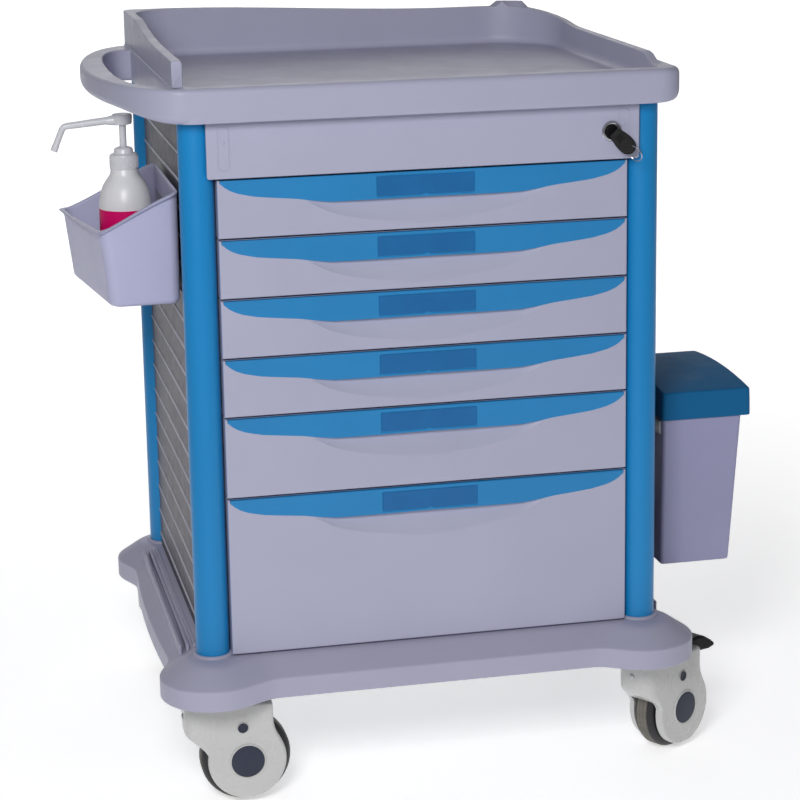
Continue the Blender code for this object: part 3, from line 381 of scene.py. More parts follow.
# ---------------------------------------------------------------- base
SLAB_HALF_X = 0.310
SLAB_BOW = 0.016
SLAB_HALF_Y = 0.2775
BUMPER_X, BUMPER_DY, BUMPER_R = 0.271, 0.2375, 0.067
BUMPER_BLEND = 0.018


def base_distance(x, y):
    """Rough signed distance from the base's outline: a bowed slab with a round bumper at each corner."""
    x, y = abs(x), abs(y - MID_Y)
    side = SLAB_HALF_X + SLAB_BOW * (1 - (y / SLAB_HALF_Y) ** 2)
    slab_part = max(x - side, y - SLAB_HALF_Y)
    bumper = math.hypot(x - BUMPER_X, y - BUMPER_DY) - BUMPER_R
    blend = max(BUMPER_BLEND - abs(slab_part - bumper), 0.0) / BUMPER_BLEND
    return min(slab_part, bumper) - blend * blend * BUMPER_BLEND / 4


def base_ring(inset, z, count=320):
    """Outline of the base, moved inwards, at a height."""
    ring = []
    for i in range(count):
        angle = 2 * math.pi * i / count
        direction = Vector((math.cos(angle), math.sin(angle)))
        near, far = 0.0, 0.5
        for _ in range(22):
            middle = (near + far) / 2
            if base_distance(direction.x * middle, MID_Y + direction.y * middle) + inset > 0:
                far = middle
            else:
                near = middle
        ring.append(Vector((direction.x * near, MID_Y + direction.y * near, z)))
    return ring


COLUMN_X, FRONT_COLUMN_Y, REAR_COLUMN_Y, COLUMN_R = 0.271, 0.018, 0.485, 0.0205
# (inset, drop below the top) from the upright band, over the crease and up the slope
BASE_SHOULDER = ((0.0, 0.0245), (0.0002, 0.0232), (0.0008, 0.0222), (0.0018, 0.0214), (0.0050, 0.0192),
                 (0.010, 0.0157), (0.018, 0.0101), (0.0235, 0.0063), (0.0275, 0.0037), (0.031, 0.0019),
                 (0.036, 0.0006), (0.044, 0.0))
# (step out from the column, height) of the collar moulded round each column's foot
FOOT_COLLAR = ((0.0052, -0.004), (0.0048, 0.0006), (0.0040, 0.0020), (0.0028, 0.0029), (0.0012, 0.0032),
               (0.0, 0.0030), (-0.002, 0.0020), (-0.004, -0.004))


def build_base():
    low, top = BASE_LOW_Z, BASE_TOP_Z
    profile = [(0.0305, top - 0.0045), (0.0045, top - 0.0245), (0.0045, low + 0.0005), (0.003, low),
               (0.001, low + 0.0003), (0.0, low + 0.0017)]
    profile += [(inset, top - drop) for inset, drop in BASE_SHOULDER]
    parts = [loft([base_ring(inset, z) for inset, z in profile])]
    for x in (-COLUMN_X, COLUMN_X):
        for y in (FRONT_COLUMN_Y, REAR_COLUMN_Y):
            foot = lathe([(COLUMN_R + out, up) for out, up in FOOT_COLLAR], 64)
            parts.append(placed(foot, Matrix.Translation((x, y, top))))
    for side in (-1, 1):
        for x in (0.2885, 0.2975, 0.3065):
            parts.append(rounded_box((side * x - 0.0022, 0.052, top - 0.014),
                                     (side * x + 0.0022, 0.443, top + 0.0012), 0.0011, 0.0021))
    piece("base_shell", joined(*parts), "cabinet", LILAC_BASE, ["base_moulding"])


def build_columns():
    for end, y in (("front", FRONT_COLUMN_Y), ("rear", REAR_COLUMN_Y)):
        for side, x in (("left", -COLUMN_X), ("right", COLUMN_X)):
            profile = [(COLUMN_R - 0.004, BASE_TOP_Z)]
            profile += [(COLUMN_R, z) for z in (BASE_TOP_Z, BASE_TOP_Z + 0.02, TOP_Z - 0.02, TOP_Z)]
            profile += [(COLUMN_R - 0.004, TOP_Z)]
            post = placed(lathe(profile, 72), Matrix.Translation((x, y, 0)))
            groove = []
            for at in (100, 80) if end == "front" else (-80, -100):
                angle = math.radians(at)
                cx = x + (COLUMN_R - 0.0002) * math.cos(angle)
                cy = y + (COLUMN_R - 0.0002) * math.sin(angle)
                groove.append(rounded_box((cx - 0.0008, cy - 0.0008, BASE_TOP_Z + 0.004),
                                          (cx + 0.0008, cy + 0.0008, TOP_Z - 0.004), 0.0004))
            piece(f"column_{end}_{side}_post", joined(post, *groove), "cabinet", COLUMN,
                  [f"column_{end}_{side}"])


# ---------------------------------------------------------------- side and back panels
RIDGE_COUNT = 19
RIDGE_PROFILE = ((-0.0004, -0.0030), (0.0004, -0.0026), (0.0013, -0.0014), (0.0018, 0.0), (0.0013, 0.0010),
                 (0.0004, 0.0016), (-0.0004, 0.0018))


def build_side_panels():
    """Flat sheet on each side, darkened with painted shade, with thin level ridges across it."""
    for name, side in (("left", -1), ("right", 1)):
        low, high = node_box(f"side_panel_{name}")
        ground = max(abs(low.x), abs(high.x)) - 0.0045
        xs = sorted((side * min(abs(low.x), abs(high.x)), side * ground))
        sheet = rounded_box((xs[0], low.y, low.z), (xs[1], high.y, high.z), 0.0006, 0.002, "x")
        piece(f"side_sheet_{name}", sheet, "cabinet", PANEL, [f"side_panel_{name}"])
        pitch = (high.z - low.z) / RIDGE_COUNT
        ends = ((low.y + 0.001, 0.15), (low.y + 0.004, 1.0), (high.y - 0.004, 1.0), (high.y - 0.001, 0.15))
        ridges = []
        for i in range(RIDGE_COUNT):
            z = low.z + pitch * (i + 0.5)
            rings = [[Vector((side * (ground + out * share), y, z + up)) for out, up in RIDGE_PROFILE]
                     for y, share in ends]
            ridges.append(loft(rings))
        piece(f"side_ridges_{name}", joined(*ridges), "cabinet", RIDGE, sharp=50)


def build_back_panel():
    low, high = node_box("back_panel")
    parts = [rounded_box(low, high, 0.0008, 0.004, "y")]
    tall = (high.z - low.z - 0.10) / 3
    for i in range(3):
        bottom = low.z + 0.035 + i * (tall + 0.015)
        parts.append(rounded_box((low.x + 0.035, high.y - 0.0012, bottom),
                                 (high.x - 0.035, high.y + 0.0016, bottom + tall), 0.0013, 0.018, "y"))
    piece("back_sheet", joined(*parts), "cabinet", BACK, ["back_panel"])
    heads = [screw((x, high.y, z), (0, 1, 0)) for x in (low.x + 0.012, high.x - 0.012)
             for z in steps(low.z + 0.03, high.z - 0.03, 4)]
    piece("back_screws", joined(*heads), "cabinet", STEEL)


# ---------------------------------------------------------------- top tray and handle
RIM = (-0.300, -0.028, 0.3125, 0.512)
GUARD_OUT = (-0.2975, -0.0135, 0.2975, 0.505)
GUARD_IN = (-0.2855, -0.006, 0.2855, 0.493)
GUARD_OUT_CORNERS = (0.008, 0.012, 0.106, 0.010)
GUARD_IN_CORNERS = (0.004, 0.004, 0.094, 0.045)
SOCKET_X = (0.2185, 0.2555)
FRONT_XS = steps(-0.29, 0.29, 40)
BACK_XS = sorted(steps(-0.29, 0.29, 58) + [-0.2404, -0.2396, SOCKET_X[0] - 0.0006, SOCKET_X[0] + 0.0006,
                                           SOCKET_X[1] - 0.0006, SOCKET_X[1] + 0.0006])
SIDE_YS = sorted(steps(0.0, 0.50, 50) + [-0.0025, -0.0016, -0.0008, 0.001, 0.004])
POST_HIGH, WALL_HIGH = 0.043, 0.030
# (height above the rim's foot, inset, tuck under on the right) and (drop below its top, inset)
RIM_FOOT = ((0.0, 0.003, 0.011), (0.0004, 0.0014, 0.0085), (0.0016, 0.0004, 0.0058), (0.0046, 0.0, 0.0026),
            (0.0090, 0.0, 0.0007), (0.0140, 0.0, 0.0))
RIM_CREST = ((0.0080, 0.0), (0.0050, 0.0005), (0.0027, 0.0016), (0.0010, 0.0034), (0.0002, 0.0056),
             (0.0, 0.0075))
TRAY_COVE = ((0.0012, 0.010), (0.0020, 0.014), (0.0036, 0.0172), (0.0062, 0.0192), (0.0095, 0.0199),
             (0.014, 0.020))


def tray_ring(box, corners, height):
    """Rounded rectangle of one fixed count of points; height is a number or a rule of (x, y)."""
    x0, y0, x1, y1 = box
    front_left, front_right, back_right, back_left = corners
    flat = [(clamp(x, x0 + front_left, x1 - front_right), y0) for x in FRONT_XS]
    flat += arc(x1 - front_right, y0 + front_right, front_right, -90, 0, 14)
    flat += [(x1, clamp(y, y0 + front_right, y1 - back_right)) for y in SIDE_YS]
    flat += arc(x1 - back_right, y1 - back_right, back_right, 0, 90, 18)
    flat += [(clamp(x, x0 + back_left, x1 - back_right), y1) for x in reversed(BACK_XS)]
    flat += arc(x0 + back_left, y1 - back_left, back_left, 90, 180, 14)
    flat += [(x0, clamp(y, y0 + front_left, y1 - back_left)) for y in reversed(SIDE_YS)]
    flat += arc(x0 + front_left, y0 + front_left, front_left, 180, 270, 14)
    return [Vector((x, y, height(x, y) if callable(height) else height)) for x, y in flat]


def guard_height(x, y):
    """How far the guard stands above the rim: high at the rear left post, fading along the right."""
    if x > -0.27 and y < 0.0:
        return 0.0
    if x < -0.27 and y < GUARD_OUT[3] - 0.05:
        low = between(y, [(-0.0025, 0.0), (-0.0016, 0.028), (-0.0008, 0.0295), (0.001, WALL_HIGH)])
        return low + 0.013 * clamp((y - 0.12) / 0.24, 0.0, 1.0) ** 2.4
    if y > GUARD_OUT[3] - 0.02 and x < SOCKET_X[1] + 0.001:
        post = POST_HIGH - 0.013 * smooth(x, -0.250, 0.150)
        return post + (0.007 if SOCKET_X[0] < x < SOCKET_X[1] else 0.0)
    if x < -0.2404:
        return POST_HIGH
    travelled = x + (GUARD_OUT[3] - 0.006 - y)
    fading = WALL_HIGH - 0.018 * smooth(travelled, 0.24, 0.45)
    return fading * smooth(y, 0.018, 0.060)


def guard_edge(x, y, least=0.0):
    """Rounding of the guard's top edge where it stands."""
    return max(min(0.0022, guard_height(x, y) / 2), least)


def moved_ring(box, corners, inset, height):
    """Like tray_ring, moved inwards by a rule of (x, y)."""
    ring = tray_ring(box, corners, 0.0)
    flat = [(p.x, p.y) for p in ring]
    count = len(flat)
    result = []
    for i, (x, y) in enumerate(flat):
        back, ahead = i - 1, (i + 1) % count
        while (Vector(flat[back]) - Vector(flat[i])).length < 1e-5:
            back -= 1
        while (Vector(flat[ahead]) - Vector(flat[i])).length < 1e-5:
            ahead = (ahead + 1) % count
        heading = (Vector(flat[ahead]) - Vector(flat[back])).normalized()
        amount = inset(x, y) if callable(inset) else inset
        result.append(Vector((x - heading.y * amount, y + heading.x * amount,
                              height(x, y) if callable(height) else height)))
    return result


def build_top():
    rows = [(TOP_Z + up, inset, under) for up, inset, under in RIM_FOOT]
    rows += [(RIM_Z - drop, inset, 0.0) for drop, inset in RIM_CREST]
    rings = []
    for z, inset, under in rows:
        box = (RIM[0] + inset * 0.2, RIM[1] + inset, RIM[2] - inset - under, RIM[3] - inset * 0.6)
        rings.append(tray_ring(box, (0.030 - inset * 0.6,) * 4, z))
    rings.append(tray_ring(GUARD_OUT, GUARD_OUT_CORNERS, RIM_Z))
    rises = ((0.0, 1.0), (0.3, 0.3), (1.0, 0.0))
    for share, drop in rises:
        rings.append(moved_ring(GUARD_OUT, GUARD_OUT_CORNERS, lambda x, y: guard_edge(x, y) * share,
                                lambda x, y: RIM_Z + guard_height(x, y) - guard_edge(x, y) * drop))
    for share, drop in reversed(rises):
        rings.append(moved_ring(GUARD_IN, GUARD_IN_CORNERS, lambda x, y: -guard_edge(x, y, 0.0014) * share,
                                lambda x, y: RIM_Z + guard_height(x, y) - guard_edge(x, y, 0.0014) * drop))
    rings += [moved_ring(GUARD_IN, GUARD_IN_CORNERS, inset, RIM_Z - depth) for inset, depth in TRAY_COVE]
    piece("top_moulding", joined(loft(rings), handle_loop()), "cabinet", LILAC, ["top_tray"],
          sharp=38)


def handle_loop():
    """Push handle: a half-oval bar that runs into the tray's left side."""
    outer_x, outer_y, outer_out, outer_half = -0.285, 0.221, 0.095, 0.249
    inner_x, inner_y, inner_out, inner_half = -0.303, 0.213, 0.045, 0.193
    sections = []
    for along_deg in [-112, -104, -97] + steps(-90, 90, 60) + [97, 104, 112]:
        angle = math.radians(clamp(along_deg, -90, 90))
        beyond = (abs(along_deg) - 90) / 22 * 0.015 if abs(along_deg) > 90 else 0.0
        outer = Vector((outer_x - outer_out * math.cos(angle) + beyond,
                        outer_y + outer_half * math.sin(angle)))
        share = math.sin(angle)
        reach = (1 - abs(share) ** 2.7) ** 0.37
        inner = Vector((inner_x - inner_out * reach + beyond, inner_y + inner_half * share))
        high = 0.029 + 0.0115 * smooth(abs(along_deg), 35, 90)
        wide = (outer - inner).length
        top_out, low_out = 0.0060, min(0.0115, high * 0.40)
        top_in, low_in = 0.0035, 0.005
        corners = (arc(top_out, -top_out, top_out, 90, 180, 7)
                   + arc(low_out, -high + low_out, low_out, 180, 270, 7)
                   + arc(wide - low_in, -high + low_in, low_in, 270, 360, 5)
                   + arc(wide - top_in, -top_in, top_in, 0, 90, 5))
        sections.append([Vector((*outer.lerp(inner, across / wide), RIM_Z + up - 0.0003))
                         for across, up in corners])
    return loft(sections)


# ---------------------------------------------------------------- front panel and lock
LOCK_X, LOCK_Z = 0.2265, 0.812


def build_front_panel():
    low, high = node_box("front_top_panel")
    parts = [rounded_box(low, high, 0.0018, 0.003, "y")]
    middle = (low.z + high.z) / 2 + 0.001
    for x in (low.x + 0.020, high.x - 0.020):
        outline = round_rect(x - 0.0065, middle - 0.0255, x + 0.0065, middle + 0.0255, 0.0060, 8)
        pill = [Vector((px, low.y + 0.0002, pz)) for px, pz in outline]
        parts.append(tube(pill, 0.0009, 8, closed=True))
        knob = placed(lathe([(0.0022, 0.0), (0.0022, 0.0006), (0.0014, 0.0011), (0.0004, 0.0012)], 20),
                      along((0, -1, 0), (x, low.y + 0.0001, middle + 0.0075)))
        parts.append(knob)
    piece("front_fascia_top", joined(*parts), "cabinet", LILAC_FRONT, ["front_top_panel"])


def build_lock():
    low, high = node_box("lock_housing")
    radius = (high.x - low.x) / 2
    bezel = lathe([(radius * 0.94, 0.0), (radius, 0.0008), (radius, 0.0020), (radius * 0.93, 0.0030),
                   (radius * 0.80, 0.0033), (radius * 0.74, 0.0028), (radius * 0.72, 0.0005)],
                  56, (False, False))
    back = lathe([(radius * 0.72, 0.0004), (radius * 0.3, 0.0004)], 56, (False, True))
    housing = placed(joined(bezel, back), along((0, -1, 0), (LOCK_X, low.y + 0.0033, LOCK_Z)))
    piece("lock_bezel", housing, "cabinet", CHROME, ["lock_housing"])
    plug_low, plug_high = node_box("lock_plug")
    plug_r = (plug_high.x - plug_low.x) / 2
    plug = lathe([(plug_r, 0.0), (plug_r, 0.0016), (plug_r * 0.92, 0.0024), (plug_r * 0.80, 0.0027),
                  (plug_r * 0.74, 0.0022), (plug_r * 0.4, 0.0022), (plug_r * 0.1, 0.0023)], 48)
    plug = placed(plug, along((0, -1, 0), (LOCK_X, plug_low.y + 0.0027, LOCK_Z)))
    piece("lock_cylinder", plug, "lock", BLACK, ["lock_plug"])


# ---------------------------------------------------------------- drawers
FRONT_HALF_X = FRONT_BOX[1].x - SHIFT.x
EDGE_ROUND = 0.0020
# (distance in from the strip's end, how far it hangs down)
STRIP_DEPTH = [(0.0, 0.003), (0.005, 0.0085), (0.012, 0.0130), (0.022, 0.0170), (0.041, 0.0212),
               (0.065, 0.0238), (0.090, 0.0262), (0.110, 0.0295), (0.130, 0.0318), (0.160, 0.032),
               (0.249, 0.0315)]
STRIP_MARGIN = 0.003
END_STEPS = (0.001, 0.0025, 0.005, 0.008, 0.012, 0.017, 0.022, 0.031, 0.041, 0.053)
ROUND_STEPS = (0.0, 0.0003, 0.0008, 0.0014, 0.0021)
SCOOP_HALF_X, SCOOP_HIGH, SCOOP_DEEP = 0.142, 0.0275, 0.0070
WINDOW_HALF_X = 0.059


def strip_depth(x):
    """How far the blue strip hangs down at x, eased between the table's rows."""
    inside = FRONT_HALF_X - STRIP_MARGIN - abs(x)
    return (between(inside - 0.002, STRIP_DEPTH) + between(inside, STRIP_DEPTH)
            + between(inside + 0.002, STRIP_DEPTH)) / 3


def edge_fall(across, up, radius):
    """Set-back of a face near its rounded edges; across and up are distances from the edges."""
    a = max(radius - across, 0.0)
    b = max(radius - up, 0.0)
    return radius - math.sqrt(max(radius * radius - a * a - b * b, 0.0))


def scoop_high(x):
    """Height of the finger hollow at x."""
    share = abs(x) / SCOOP_HALF_X
    return SCOOP_HIGH * (1 - share ** 2.2) ** 0.85 if share < 1 else 0.0


def scoop(x, below):
    """Depth of the finger hollow, below the strip's edge."""
    share = abs(x) / SCOOP_HALF_X
    if share >= 1:
        return 0.0
    down = below / (scoop_high(x) + 0.0001)
    if down >= 1:
        return 0.0
    return SCOOP_DEEP * (1 - share ** 3) ** 0.7 * (1 - down ** 1.7)


def fascia_mesh(low, high):
    """Drawer front: flat face, rounded edges, finger hollow, and a step behind the strip."""
    inner = FRONT_HALF_X - STRIP_MARGIN
    xs = [-FRONT_HALF_X + d for d in ROUND_STEPS] + [-inner - 0.00005, -inner]
    xs += [-inner + d for d in END_STEPS]
    xs += steps(-0.180, 0.180, 120)
    xs += [-x for x in reversed(xs[:17])]
    back = high.y
    columns = []
    for x in xs:
        plain = abs(x) > inner
        edge = high.z - 0.0006 - (0.0 if plain else strip_depth(x))
        hollow = max(scoop_high(x), 0.004)
        zs = [low.z + d for d in ROUND_STEPS] + steps(low.z + 0.006, edge - hollow - 0.0015, 4)
        zs += [edge - hollow * share for share in (1.06, 1.02, 1.0, 0.97, 0.93, 0.88, 0.81, 0.73, 0.64, 0.54,
                                                   0.43, 0.32, 0.21, 0.10, 0.03)]
        column = [Vector((x, back, low.z))]
        for z in zs:
            y = edge_fall(FRONT_HALF_X - abs(x), z - low.z, EDGE_ROUND)
            column.append(Vector((x, y + scoop(x, edge - z), z)))
        if plain:
            for gap in (0.0014, 0.0008, 0.0003, 0.0):
                column.append(Vector((x, edge_fall(FRONT_HALF_X - abs(x), gap, EDGE_ROUND), high.z - gap)))
        else:
            deep = scoop(x, 0.0)
            behind = max(deep, 0.0056)
            column += [Vector((x, deep, edge + 0.0011)), Vector((x, behind, edge + 0.0012)),
                       Vector((x, behind, high.z - 0.0012)), Vector((x, behind, high.z))]
        column.append(Vector((x, back, high.z)))
        columns.append(column)
    return loft(columns)


def strip_mesh(top, face, back):
    """Blue strip along the top of a drawer front, with a shallow window in its middle."""
    inner = FRONT_HALF_X - STRIP_MARGIN - 0.0003
    xs = [-inner + d for d in (0.0, 0.0004) + END_STEPS]
    xs += steps(-0.180, -0.064, 30)
    xs += [-0.0605, -0.0601, -0.0596, -0.0592] + steps(-0.058, -0.007, 14) + [-0.0060, -0.0030, 0.0]
    xs += [-x for x in reversed(xs[:-1])]
    columns = []
    for x in xs:
        edge = top - strip_depth(x) + (0.0003 if abs(x) < inner - 0.001 else 0.0)
        across = inner - abs(x)
        inside = WINDOW_HALF_X + 0.0009 - abs(x)
        sunk = 0.0009 * smooth(inside, 0.0, 0.0006)
        notch = 0.0026 * max(1 - abs(x) / 0.0060, 0.0)
        window_low = edge + 0.0024 + notch
        window_high = top - 0.0040
        zs = [min(edge + d, top - 0.0016) for d in (0.0, 0.0002, 0.0005, 0.0009, 0.0016)]
        if sunk > 0 or across > 0.03:
            zs += [window_low - 0.0003, window_low + 0.0003]
            zs += steps(window_low + 0.001, window_high - 0.001, 3)
            zs += [window_high - 0.0003, window_high + 0.0003]
        else:
            zs += steps(edge + 0.0017, top - 0.0015, 7)
            zs = sorted(clamp(z, edge, top - 0.0014) for z in zs)
        zs += [top - 0.0014, top - 0.0009, top - 0.0005, top - 0.0002, top]
        column = [Vector((x, back, edge))]
        for z in zs:
            y = face + edge_fall(min(across, 1.0), min(z - edge, top - z), 0.0009)
            if sunk > 0 and window_low < z < window_high:
                y += sunk
            column.append(Vector((x, y, z)))
        column.append(Vector((x, back, top)))
        columns.append(column)
    return loft(columns)


def build_drawers():
    for number in DRAWERS:
        body = f"drawer_{number}"
        low, high = node_box(f"{body}_front")
        strip_low, strip_high = node_box(f"{body}_handle")
        top = max(high.z, strip_high.z)
        fascia = fascia_mesh(low, Vector((high.x, high.y, top)))
        piece(f"{body}_fascia", fascia, body, LILAC_FRONT, [f"{body}_front"], sharp=30)
        strip = strip_mesh(top - 0.0004, strip_low.y, 0.0054)
        piece(f"{body}_strip", strip, body, STRIP, [f"{body}_handle"], sharp=30)
        depth = strip_depth(0.0)
        insert = round_rect(-WINDOW_HALF_X, top - depth + 0.0034, WINDOW_HALF_X, top - 0.0052, 0.0015, 4)
        plate = slab(insert, 0.0, 0.0013, 0.0001, 0.0003,
                     lambda u, v, h: Vector((u, strip_low.y + 0.0015 - h, v)))
        piece(f"{body}_window", plate, body, WINDOW)


# ---------------------------------------------------------------- casters
WHEEL_R = 0.056
WHEEL_Z = 0.056
FORK_HALF = 0.027
TRAIL = 0.047
CASTERS = (("front_left", -0.283, 0.018, 0.0, False), ("front_right", 0.283, 0.018, 33.0, True),
           ("rear_left", -0.283, 0.477, 8.0, True), ("rear_right", 0.283, 0.477, 20.0, False))


def caster_matrix(x, y, turn):
    """From a caster's own frame (u along the trail, v along the axle) to the trolley."""
    return Matrix.Translation((x, y, 0)) @ Matrix.Rotation(math.radians(turn), 4, "Z")


FORK_TOP_Z = 0.130
FORK_LOBE_R = 0.0485
FORK_FRONT = [(0.0640, -0.0005), (0.0675, -0.0020), (0.0710, -0.0042), (0.0750, -0.0078), (0.0795, -0.0138),
              (0.0845, -0.0207), (0.0890, -0.0256), (0.0925, -0.0275), (0.0960, -0.0280), (0.1300, -0.0280)]
FORK_BACK = [(0.0800, 0.0892), (0.0850, 0.0866), (0.0900, 0.0841), (0.0950, 0.0822), (0.1000, 0.0810),
             (0.1060, 0.0804), (0.1300, 0.0802)]


def fork_ends(z):
    """Front and back of the cover at a height: the round lobe below, the crown above."""
    chord = math.sqrt(max(FORK_LOBE_R ** 2 - (z - WHEEL_Z) ** 2, 0.0))
    front = TRAIL - chord if z < FORK_FRONT[0][0] else between(z, FORK_FRONT)
    back = TRAIL + chord if z < FORK_BACK[0][0] else between(z, FORK_BACK)
    return front, back


def fork_mesh():
    """One-piece cover: two round cheeks joined over the wheel, with a big soft front."""
    bottom = WHEEL_Z - FORK_LOBE_R
    levels = [bottom + 0.00003 + 0.020 * (i / 16) ** 2 for i in range(17)]
    levels += steps(bottom + 0.0225, FORK_TOP_Z - 0.0045, 44)
    levels += [FORK_TOP_Z - drop for drop in (0.0034, 0.0024, 0.0014, 0.0006, 0.0)]
    rings = []
    for z in levels:
        front, back = fork_ends(z)
        fall = edge_fall(1.0, z - bottom, 0.0045) * 0.9
        top_fall = edge_fall(1.0, FORK_TOP_Z - z, 0.0034)
        half = FORK_HALF - fall - top_fall
        room = (back - front) / 2 - 0.0002
        soft = min(0.0045 + 0.0120 * smooth(z, 0.070, 0.090), room, half - 0.0005)
        firm = min(0.0045, room, half - 0.0005)
        front += top_fall
        back -= top_fall
        flat = (arc(back - firm, -half + firm, firm, -90, 0, 6)
                + arc(back - firm, half - firm, firm, 0, 90, 6)
                + arc(front + soft, half - soft, soft, 90, 180, 12)
                + arc(front + soft, -half + soft, soft, 180, 270, 12))
        rings.append([Vector((u, v, z)) for u, v in flat])
    arch = arc(TRAIL, WHEEL_Z, 0.0595, 0, 180, 40) + [(TRAIL - 0.0595, -0.02), (TRAIL + 0.0595, -0.02)]
    slot = slab(arch, -0.0178, 0.0178, 0.0, 0.0, on_edge, count=1)
    return carve(loft(rings), slot)


def carve(solid, cutter):
    """Boolean difference of two bmeshes."""
    objects = []
    for bm in (solid, cutter):
        bmesh.ops.remove_doubles(bm, verts=bm.verts, dist=0.00001)
        bmesh.ops.recalc_face_normals(bm, faces=bm.faces)
        mesh = bpy.data.meshes.new("carving")
        bm.to_mesh(mesh)
        bm.free()
        obj = bpy.data.objects.new("carving", mesh)
        bpy.context.scene.collection.objects.link(obj)
        objects.append(obj)
    cut = objects[0].modifiers.new("cut", "BOOLEAN")
    cut.operation = "DIFFERENCE"
    cut.object = objects[1]
    cut.solver = "EXACT"
    bpy.context.view_layer.update()
    result = bmesh.new()
    result.from_object(objects[0], bpy.context.evaluated_depsgraph_get())
    for obj in objects:
        mesh = obj.data
        bpy.data.objects.remove(obj)
        bpy.data.meshes.remove(mesh)
    return result


def tyre_mesh():
    """Sidewalls and shoulders, turned about the axle (Z here)."""
    half = 0.0150
    rows = [(0.0340, 0.0005), (0.0400, -0.0002), (0.0470, 0.0), (0.0500, 0.0006), (0.0526, 0.0022),
            (0.0543, 0.0047), (0.0552, 0.0076)]
    return lathe([(r, -half + d) for r, d in rows] + [(r, half - d) for r, d in reversed(rows)], 96)


def tread_mesh():
    """Worn running band with shallow grooves round it."""
    rows = [(0.0545, -0.0078), (0.0554, -0.0077)]
    for start in (-0.0072, -0.0022, 0.0028):
        rows += [(0.0559, start), (WHEEL_R, start + 0.0008), (WHEEL_R, start + 0.0036),
                 (0.0559, start + 0.0042), (0.0555, start + 0.0045)]
    rows += [(0.0554, 0.0077), (0.0545, 0.0078)]
    return lathe(rows, 96, (False, False))


# along the trail, height, cap rows, ring rows, points round: the hub cap and the small bolt cap
CHEEK_CAPS = (
    (TRAIL, WHEEL_Z,
     [(0.0205, -0.002), (0.0205, 0.0004), (0.0198, 0.0010), (0.0183, 0.0014), (0.0100, 0.0018),
      (0.0020, 0.0019)],
     [(0.0204, -0.001), (0.0206, 0.0011), (0.0212, 0.0016), (0.0221, 0.0014), (0.0227, 0.0006),
      (0.0228, -0.001)], 64),
    (0.042, 0.100, [(0.0064, -0.002), (0.0064, 0.0003), (0.0058, 0.0009), (0.0050, 0.0010), (0.0044, 0.0004),
                    (0.0010, 0.0002)],
     [(0.0063, -0.001), (0.0065, 0.0009), (0.0070, 0.0012), (0.0077, 0.0006), (0.0079, -0.001)], 36))


def build_caster(corner, x, y, turn, braked):
    swivel, wheel = f"swivel_{corner}", f"wheel_{corner}"
    where = caster_matrix(x, y, turn)
    piece(f"{corner}_fork_cover", placed(fork_mesh(), where), swivel, FORK,
          [f"caster_{corner}_fork"], sharp=40)
    tab = rounded_box((0.0735, -0.0085, 0.1120), (0.0815, 0.0085, 0.1285), 0.0018, 0.003, "y")
    step_line = slab(round_rect(-0.0225, -0.0215, 0.0660, 0.0215, 0.018, 8), 0.1295, 0.1325, 0.0, 0.0012,
                     lambda u, v, h: Vector((u, v, h)))
    piece(f"{corner}_fork_top", placed(joined(tab, step_line), where), swivel, FORK)
    caps, rings = [], []
    for side in (-1, 1):
        for u, z, cap, ring, count in CHEEK_CAPS:
            face = where @ along((0, side, 0), (u, side * (FORK_HALF + 0.0001), z))
            caps.append(placed(lathe(cap, count), face))
            rings.append(placed(lathe(ring, count, (False, False)), face))
    piece(f"{corner}_hub_caps", joined(*caps), swivel, CAP)
    piece(f"{corner}_cap_rings", joined(*rings), swivel, FORK)
    pin = placed(screw((-0.0282, 0.0, 0.112), (-1, 0, 0), 0.0036, 0.0014), where)
    piece(f"{corner}_front_screw", pin, swivel, STEEL)

    axle = where @ Matrix.Translation((TRAIL, 0, WHEEL_Z)) @ Matrix.Rotation(math.radians(90), 4, "X")
    piece(f"{corner}_tyre", placed(tyre_mesh(), axle), wheel, TYRE,
          [f"caster_{corner}_wheel"])
    piece(f"{corner}_tread", placed(tread_mesh(), axle), wheel, TREAD)
    spokes = [placed(rounded_box((0.010, -0.002, -0.0140), (0.034, 0.002, 0.0140), 0.0012, 0.0015),
                     axle @ Matrix.Rotation(math.radians(a), 4, "Z")) for a in range(0, 360, 60)]
    drum = placed(lathe([(0.0100, -0.0150), (0.0130, -0.0152), (0.0135, -0.0146), (0.0135, 0.0146),
                         (0.0130, 0.0152), (0.0100, 0.0150)], 40), axle)
    piece(f"{corner}_hub_core", joined(drum, *spokes), wheel, FORK)
    if braked:
        build_pedal(corner, where)


def build_pedal(corner, where):
    """Black brake pedal that sticks out behind the fork, with grip ribs across its tip."""
    low, high = local_box(f"caster_{corner}_pedal", where)
    near, far = low.x, high.x
    tip, rise, crest = (far - 0.003, low.z + 0.0078), (far - 0.024, high.z - 0.0022), (far - 0.034, high.z)
    profile = [(near, low.z + 0.003), (near + 0.018, low.z + 0.003), (far - 0.012, low.z),
               (far - 0.002, low.z + 0.0016), (far, low.z + 0.0048), tip, rise, crest, (near, high.z)]
    half = (high.y - low.y) / 2
    solid = slab(profile, -half, half, 0.0032, 0.0032, on_edge)
    ribs = []
    for i in range(4):
        u = far - 0.0045 - 0.0042 * i
        z = between(u, [crest, rise, tip])
        ribs.append(rounded_box((u - 0.0008, -half + 0.004, z - 0.002),
                                (u + 0.0008, half - 0.004, z + 0.0010), 0.0006))
    piece(f"{corner}_pedal_shoe", placed(joined(solid, *ribs), where), f"pedal_{corner}", BLACK,
          [f"caster_{corner}_pedal"])


def local_box(node, where):
    """A node's box in a caster's own turned frame."""
    back = where.inverted()
    points = [back @ from_frame(vert.co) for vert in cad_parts[node].data.vertices]
    low = Vector([min(p[i] for p in points) for i in range(3)])
    high = Vector([max(p[i] for p in points) for i in range(3)])
    return low, high


